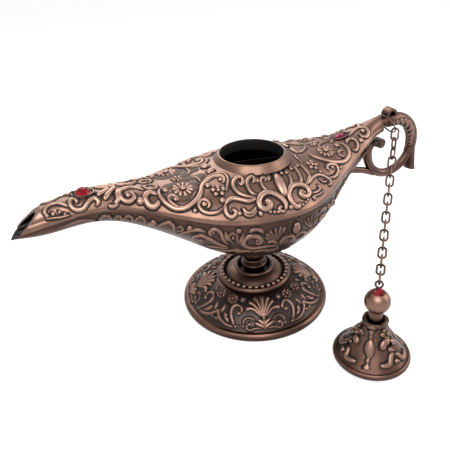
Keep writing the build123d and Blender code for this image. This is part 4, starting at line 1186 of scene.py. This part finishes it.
class LAMP_OT_upper_relief(bpy.types.Operator):
    """Lay scrolls, flowers and buds on the upper shell, and darken fields and seam"""

    bl_idname = "lamp.upper_relief"
    bl_label = "Upper relief"

    def execute(self, context):
        relief = context.scene.lamp_relief
        surface = outer_surface(["upper_shell"], body_side)
        strokes = near_half(group_strokes(surface, UPPER_SCROLLS, UPPER_DROPS, UPPER_FLOWERS))
        made = lay("upper_relief", strokes, surface, "lamp", mirrored, relief.lift)
        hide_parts("upper_reliefs")
        fields = near_half(all_drawn(surface, UPPER_FIELDS))
        wash("upper_fields", fields, surface, "lamp", mirrored, "ground copper")
        both = outer_surface(["upper_shell", "lower_shell"], body_side)
        wash("seam_wash", drawn(both, SEAM_LINE, SEAM_HALF_WIDTH), both, "lamp", mirrored)
        return {"FINISHED"}


class LAMP_OT_lower_relief(bpy.types.Operator):
    """Lay scrolls, fan shells and the cabochon on the lower shell, and leaves under the belly"""

    bl_idname = "lamp.lower_relief"
    bl_label = "Lower relief"

    def execute(self, context):
        relief = context.scene.lamp_relief
        surface = outer_surface(["lower_shell"], body_side)
        strokes = group_strokes(surface, LOWER_SCROLLS, LOWER_DROPS, {})
        strokes += self.fans(surface) + self.pearls(surface)
        strokes = near_half(strokes + tail_echo(strokes, surface))
        made = lay("lower_relief", strokes, surface, "lamp", mirrored, relief.lift, "painted shade relief copper")
        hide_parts("lower_reliefs")
        lay("belly_leaves", self.leaves(surface), surface, "lamp", mirrored, relief.leaf_lift,
            "painted shade relief copper")
        return {"FINISHED"}

    def fans(self, surface):
        """The rays of the fan shells."""
        strokes = []
        for half_width, hub, tips in LOWER_FANS.values():
            for tip in tips:
                strokes += ray_leaf(surface, (hub, tip), half_width)
        return strokes

    def pearls(self, surface):
        """The pearls round the cabochon."""
        strokes = []
        for turn in turns(CABOCHON_PEARLS):
            across = CABOCHON_MIDDLE[0] + CABOCHON_HALF[0] * math.cos(turn)
            down = CABOCHON_MIDDLE[1] + CABOCHON_HALF[1] * math.sin(turn)
            ends = ((across - CABOCHON_PEARL_HALF, down), (across + CABOCHON_PEARL_HALF, down))
            strokes += drop(surface, ends, CABOCHON_PEARL)
        return strokes

    def leaves(self, surface):
        """The near side's pointed leaves on the underside of the belly."""
        strokes = []
        start, end = BELLY_LEAF_SPAN
        for index in range(BELLY_LEAVES):
            turn = math.pi * (index + 0.5) / BELLY_LEAVES
            way = Vector((math.cos(turn), -math.sin(turn), 0))
            line = [way * (start + (end - start) * step / BELLY_LEAF_STEPS)
                    for step in range(BELLY_LEAF_STEPS + 1)]
            hits = [surface.ray_cast(place, UP)[0] for place in line]
            strokes.append(stroke([hit for hit in hits if hit], BELLY_LEAF_HALF_WIDTH, BELLY_LEAF_FULLNESS))
        return strokes


class LAMP_OT_spout(bpy.types.Operator):
    """Line the spout and the mouth with black painted shade, and run solder along the spout's joint"""

    bl_idname = "lamp.spout"
    bl_label = "Spout"

    def execute(self, context):
        self.solder()
        # Black sheets of painted shade inside the spout and the mouth
        self.lining("spout_lining", "lower_shell", self.in_spout)
        self.lining("mouth_lining", "upper_shell", self.in_mouth)
        return {"FINISHED"}

    def joint_height(self, along):
        """The height of the joint between the shells, near the spout's mouth."""
        return JOINT_START.z + (along - JOINT_START.x) * JOINT_SLOPE

    def solder(self):
        """A bead of dark solder in the inner corner of the joint."""
        wall = outer_surface(["lower_shell"], any_side)
        line = []
        for step in range(JOINT_STEPS + 1):
            along = JOINT_START.x + JOINT_LENGTH * step / JOINT_STEPS
            height = self.joint_height(along)
            hit = wall.ray_cast(Vector((along, 0, height - MM)), Vector((0, -1, 0)))[0]
            if hit:
                line.append((Vector((along, hit.y + JOINT_INSET, height)), JOINT_BEAD))
        mesh = edited(wire_mesh("spout_solder", [line]), mirrored)
        piece("spout_solder", mesh, "dark wash", "lamp")

    def lining(self, name, node, inside):
        """Black painted shade on a shell's inner faces, short of their edge."""
        mesh = merged_copy(node)
        work = bmesh.new()
        work.from_mesh(mesh)
        bmesh.ops.delete(work, geom=[face for face in work.faces if not inside(face)], context="FACES")
        edge = bmesh.ops.inset_region(work, faces=work.faces[:], thickness=LINING_EDGE, use_boundary=True)
        bmesh.ops.delete(work, geom=edge["faces"], context="FACES")
        work.normal_update()
        for vertex in work.verts:
            vertex.co += vertex.normal * LINING_GAP
        work.to_mesh(mesh)
        work.free()
        piece(name, mesh, "painted_shade_lining", "lamp")

    def in_mouth(self, face):
        """Whether a face is on the wall of the filling mouth."""
        place = face.calc_center_median()
        across = Vector((place.x, place.y, 0))
        return across.length < MOUTH_WALL and face.normal.dot(across.normalized()) < -LINING_FACING

    def in_spout(self, face):
        """Whether a face near the spout's mouth looks at the middle of its channel."""
        place = face.calc_center_median()
        if place.x > LINING_END:
            return False
        inwards = Vector((0, -place.y, self.joint_height(place.x) + MM - place.z)).normalized()
        return face.normal.dot(inwards) > LINING_FACING


class LAMP_OT_foot_relief(bpy.types.Operator):
    """Lay palmettes, scrolls and flowers on the foot, beads on its ring and a rim on its cup"""

    bl_idname = "lamp.foot_relief"
    bl_label = "Foot relief"

    def execute(self, context):
        relief = context.scene.lamp_relief
        surface = outer_surface(["foot"], foot_side)
        half = group_strokes(surface, FOOT_SCROLLS, FOOT_DROPS, FOOT_FLOWERS)
        foot = seen(surface, PALMETTE_FOOT)[0]
        bearing = math.atan2(foot.y, foot.x)
        turn = Matrix.Rotation(bearing, 3, "Z")
        flip = turn @ Matrix.Diagonal((1, -1, 1)) @ turn.inverted()
        other = [[(flip @ place, half_width) for place, half_width in line] for line in half]
        axis = Vector((0, 0, 0))
        strokes = in_sector(half + self.palmette(surface) + other, axis, bearing, math.pi / FOOT_REPEATS)
        around = repeated(axis, FOOT_REPEATS)
        lay("foot_relief", strokes, surface, "lamp", around, relief.lift, "painted shade relief copper")
        self.cup_rim()
        self.beads(relief, surface)
        return {"FINISHED"}

    def palmette(self, surface):
        """The palmette between the two halves of the foot's repeat."""
        strokes = drawn(surface, (PALMETTE_HUB, PALMETTE_FOOT), PALMETTE_STEM)
        strokes += drop(surface, (PALMETTE_HUB, PALMETTE_BUD_TIP), PALMETTE_BUD)
        for ray in PALMETTE_RAYS:
            strokes += ray_leaf(surface, (PALMETTE_HUB, *ray), PALMETTE_RAY)
        return strokes

    def cup_rim(self):
        """The rolled rim of the cup that the stem stands in."""
        mesh = edited(bpy.data.meshes.new("cup_rim"), self.roll)
        piece("cup_rim", mesh, "painted shade copper", "lamp")

    def roll(self, work):
        """Spin a circle into the cup's rim."""
        ring = bmesh.ops.create_circle(work, segments=CUP_RIM_SIDES, radius=CUP_RIM_RADIUS)["verts"]
        bmesh.ops.rotate(work, verts=ring, cent=(0, 0, 0), matrix=Matrix.Rotation(math.pi / 2, 3, "X"))
        bmesh.ops.translate(work, verts=ring, vec=CUP_RIM_PLACE)
        bmesh.ops.spin(work, geom=work.verts[:] + work.edges[:], cent=(0, 0, 0), axis=UP,
                       angle=2 * math.pi, steps=CUP_RIM_STEPS, use_merge=True)

    def beads(self, relief, surface):
        """The ring of beads round the foot's shoulder."""
        strokes = []
        for turn in turns(relief.bead_count):
            out = Vector((math.cos(turn), math.sin(turn), 0))
            place = surface.ray_cast(out * relief.bead_ring + HIGH_ABOVE, -UP)[0]
            strokes.append(bead(place, out * relief.bead_radius, relief.bead_radius / MM, BEAD_STEPS))
        mesh = wire_mesh("foot_beads", strokes)
        press(mesh, surface, BEAD_LIFT, relief.sink)
        piece("foot_beads", mesh, "relief copper", "lamp")


class LAMP_OT_lid_relief(bpy.types.Operator):
    """Lay balusters, leaves and balls on the lid"""

    bl_idname = "lamp.lid_relief"
    bl_label = "Lid relief"

    def execute(self, context):
        relief = context.scene.lamp_relief
        surface = outer_surface(["lid_shell"], lid_side)
        strokes = group_strokes(surface, LID_SCROLLS, LID_DROPS, {})
        baluster = flat_turning(surface, BALUSTER_ROWS)
        middle = baluster[0][len(baluster[0]) // 2][0] - LID_AXIS
        strokes = in_sector(strokes, LID_AXIS, math.atan2(middle.y, middle.x), math.pi / LID_REPEATS)
        around = repeated(LID_AXIS, LID_REPEATS)
        lay("lid_relief", strokes, surface, "lid", around, relief.lift, "painted shade relief copper")
        lay("lid_balusters", baluster, surface, "lid", around, relief.plate_lift, "painted shade relief copper")
        return {"FINISHED"}


class LAMP_OT_handle_relief(bpy.types.Operator):
    """Lay scales, grooves and the volute's eye on the handle"""

    bl_idname = "lamp.handle_relief"
    bl_label = "Handle relief"

    def execute(self, context):
        relief = context.scene.lamp_relief
        surface = outer_surface(["handle"], any_side)
        strokes = group_strokes(surface, HANDLE_SCALES, HANDLE_DROPS, {})
        lay("handle_relief", strokes, surface, "lamp", mirrored, relief.plate_lift, "painted shade relief copper")
        wash("handle_grooves", all_drawn(surface, HANDLE_GROOVES), surface, "lamp", mirrored)
        return {"FINISHED"}


class LAMP_OT_chain(bpy.types.Operator):
    """Bend round wire into the chain's links and the jump ring"""

    bl_idname = "lamp.chain"
    bl_label = "Chain"

    def execute(self, context):
        relief = context.scene.lamp_relief
        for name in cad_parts:
            if name.startswith("link_"):
                self.bend(name, relief.wire)
        self.bend("hook_ring", relief.ring_wire)
        return {"FINISHED"}

    def bend(self, name, wire):
        """A closed bow of round wire along the middle of a CAD link."""
        corners = numpy.array([vertex.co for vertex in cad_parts[name].data.vertices])
        centre = (corners.max(axis=0) + corners.min(axis=0)) / 2
        ways = numpy.linalg.svd(corners - corners.mean(axis=0), full_matrices=False)[2]
        spread = (corners - centre) @ ways.T
        low = spread.min(axis=0)
        high = spread.max(axis=0)
        middle = Vector(centre + ((low + high) / 2) @ ways)
        long_way = Vector(ways[0])
        wide_way = Vector(ways[1])
        bow = (high[1] - low[1]) / 2 - wire
        leg = (high[0] - low[0]) / 2 - wire - bow
        line = []
        for step in range(LINK_STEPS):
            turn = 2 * math.pi * (step + 0.5) / LINK_STEPS
            along = bow * math.cos(turn) + math.copysign(leg, math.cos(turn))
            line.append((middle + long_way * along + wide_way * bow * math.sin(turn), wire / MM))
        mesh = wire_mesh(name + "_wire", [line], cyclic=True, roundness=WIRE_ROUNDNESS)
        made = piece(name + "_wire", mesh, "chain wire", name)
        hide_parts(name)


class LAMP_OT_stones(bpy.types.Operator):
    """Colour and polish the stones, and set the spout's stone in its plate"""

    bl_idname = "lamp.stones"
    bl_label = "Stones"

    def execute(self, context):
        dress("knob_gem", "wine stone")
        dress("tail_gem", "purple stone")
        seat = self.seat("spout_gem")
        self.plate(seat)
        self.cut_stone(seat)
        self.bezel(seat)
        return {"FINISHED"}

    def seat(self, node):
        """The frame of a stone's seat: along the lamp, across it and up, from the stone's flat back."""
        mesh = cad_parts[node].data
        up = -max(mesh.polygons, key=lambda face: face.area).normal
        along = Vector((up.z, 0, -up.x)).normalized()
        reach = [along.dot(vertex.co) for vertex in mesh.vertices]
        back = min(up.dot(vertex.co) for vertex in mesh.vertices)
        turn = Matrix((along, Vector((0, 1, 0)), up)).transposed().to_4x4()
        origin = along * (min(reach) + max(reach)) / 2 + up * (back + SEAT_DEPTH)
        return Matrix.Translation(origin) @ turn

    def plate(self, seat):
        """The low oval plate that the spout's stone is set in."""
        mesh = merged_copy("spout_gem")
        back = seat.inverted()
        for vertex in mesh.vertices:
            place = back @ vertex.co
            place.z *= PLATE_FLATNESS if place.z > 0 else 1
            vertex.co = seat @ place
        made = piece("spout_plate", mesh, "cast copper", "lamp")
        mesh.set_sharp_from_angle(angle=PLATE_EDGE)
        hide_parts("spout_gem")

    def cut_stone(self, seat):
        """A round stone with facets."""
        work = bmesh.new()
        bmesh.ops.create_icosphere(work, subdivisions=STONE_CUTS, radius=STONE_RADIUS)
        bmesh.ops.bisect_plane(work, geom=everything(work), dist=WELD, plane_co=(0, 0, -STONE_FOOT),
                               plane_no=(0, 0, -1), clear_outer=True)
        bmesh.ops.scale(work, vec=(1, 1, STONE_RISE / STONE_RADIUS), verts=work.verts)
        bmesh.ops.transform(work, matrix=seat, verts=work.verts)
        mesh = bpy.data.meshes.new("spout_stone")
        work.to_mesh(mesh)
        work.free()
        piece("spout_stone", mesh, "red stone", "lamp", smooth=False)

    def bezel(self, seat):
        """The bead of copper that holds the stone."""
        ring = [(Vector((math.cos(turn), math.sin(turn), 0)) * STONE_RADIUS, BEZEL)
                for turn in turns(BEZEL_STEPS)]
        ring = [(seat @ (place + UP * STONE_FOOT), half_width) for place, half_width in ring]
        mesh = wire_mesh("spout_bezel", [ring], cyclic=True)
        piece("spout_bezel", mesh, "cast copper", "lamp")


class LAMP_OT_stage(bpy.types.Operator):
    """Set the camera, the soft lights, the white table and the white room"""

    bl_idname = "lamp.stage"
    bl_label = "Stage"

    def execute(self, context):
        self.camera(context)
        self.floor()
        self.world(context)
        for name, (place, size, power) in LIGHTS.items():
            self.light(name, place, size, power)
        context.scene.view_settings.view_transform = "Standard"
        return {"FINISHED"}

    def camera(self, context):
        """The photograph's camera."""
        right, up, forward = camera_axes()
        lens = bpy.data.cameras.new("photo_camera")
        lens.sensor_width = SENSOR_WIDTH
        lens.lens = FOCAL_PIXELS * SENSOR_WIDTH / PICTURE_SIDE
        lens.clip_start = NEAREST_VIEW
        holder = bpy.data.objects.new("photo_camera", lens)
        turn = Matrix((right, up, -forward)).transposed().to_4x4()
        holder.matrix_world = Matrix.Translation(EYE_PLACE) @ turn
        context.scene.collection.objects.link(holder)
        context.scene.camera = holder

    def seen_rays(self, tree):
        """1 for rays that come from the camera, straight, mirrored or through glass, and 0 for others."""
        path = put(tree, "ShaderNodeLightPath")
        rays = path.outputs["Is Camera Ray"]
        for name in ("Is Glossy Ray", "Is Transmission Ray"):
            rays = combined(tree, "MAXIMUM", rays, path.outputs[name])
        return rays

    def floor(self):
        """A wide white table top that keeps the lamp's shadow."""
        work = bmesh.new()
        bmesh.ops.create_grid(work, x_segments=1, y_segments=1, size=TABLE_SIZE)
        mesh = bpy.data.meshes.new("table_top")
        work.to_mesh(mesh)
        work.free()
        mesh.materials.append(self.table_white())
        top = bpy.data.objects.new("table_top", mesh)
        bpy.context.scene.collection.objects.link(top)

    def table_white(self):
        """White that glows where it is seen, and lights the lamp as a plain table does."""
        material, tree, shader = new_material("table white")
        shader.inputs["Base Color"].default_value = TABLE_COLOUR
        shader.inputs["Roughness"].default_value = TABLE_ROUGHNESS
        glow = put(tree, "ShaderNodeEmission", Color=WHITE, Strength=TABLE_GLOW)
        diffuse = put(tree, "ShaderNodeBsdfDiffuse", Color=TABLE_SHADE)
        both = put(tree, "ShaderNodeAddShader")
        tree.links.new(glow.outputs[0], both.inputs[0])
        tree.links.new(diffuse.outputs[0], both.inputs[1])
        mix = put(tree, "ShaderNodeMixShader")
        tree.links.new(self.seen_rays(tree), mix.inputs[0])
        tree.links.new(shader.outputs[0], mix.inputs[1])
        tree.links.new(both.outputs[0], mix.inputs[2])
        tree.links.new(mix.outputs[0], tree.nodes["Material Output"].inputs["Surface"])
        return material

    def world(self, context):
        """A white room: plain light on the lamp, and white where the camera sees it."""
        world = bpy.data.worlds.new("white room")
        world.use_nodes = True
        tree = world.node_tree
        strength = put(tree, "ShaderNodeMapRange")
        strength.inputs["To Min"].default_value = ROOM_LIGHT
        strength.inputs["To Max"].default_value = ROOM_SEEN
        tree.links.new(self.seen_rays(tree), strength.inputs["Value"])
        tree.links.new(strength.outputs[0], tree.nodes["Background"].inputs["Strength"])
        tree.nodes["Background"].inputs["Color"].default_value = WHITE
        context.scene.world = world

    def light(self, name, place, size, power):
        """A square soft light that looks at the lamp."""
        light = bpy.data.lights.new(name, "AREA")
        light.size = size
        light.energy = power
        holder = bpy.data.objects.new(name, light)
        way = LIGHTS_AIM - Vector(place)
        holder.matrix_world = Matrix.Translation(place) @ way.to_track_quat("-Z", "Y").to_matrix().to_4x4()
        bpy.context.scene.collection.objects.link(holder)


OPERATORS = (LAMP_OT_castings, LAMP_OT_upper_relief, LAMP_OT_lower_relief, LAMP_OT_spout,
             LAMP_OT_foot_relief, LAMP_OT_lid_relief, LAMP_OT_handle_relief, LAMP_OT_chain,
             LAMP_OT_stones, LAMP_OT_stage)


class LAMP_PT_sidebar(bpy.types.Panel):
    """The lamp's pieces and finishes"""

    bl_idname = "LAMP_PT_sidebar"
    bl_label = "Genie lamp"
    bl_space_type = "VIEW_3D"
    bl_region_type = "UI"
    bl_category = "Lamp"

    def draw(self, context):
        for group in (context.scene.lamp_finish, context.scene.lamp_relief):
            for name in group.__annotations__:
                self.layout.prop(group, name)
        for operator in OPERATORS:
            self.layout.operator(operator.bl_idname)


CLASSES = (LampFinish, LampRelief, *OPERATORS, LAMP_PT_sidebar)


def register():
    for item in CLASSES:
        bpy.utils.register_class(item)
    bpy.types.Scene.lamp_finish = bpy.props.PointerProperty(type=LampFinish)
    bpy.types.Scene.lamp_relief = bpy.props.PointerProperty(type=LampRelief)


def unregister():
    del bpy.types.Scene.lamp_relief
    del bpy.types.Scene.lamp_finish
    for item in reversed(CLASSES):
        bpy.utils.unregister_class(item)


def main():
    """Dress the lamp piece by piece."""
    register()
    for operator in OPERATORS:
        group, name = operator.bl_idname.split(".")
        getattr(getattr(bpy.ops, group), name)()


if __name__ == "__main__":
    main()
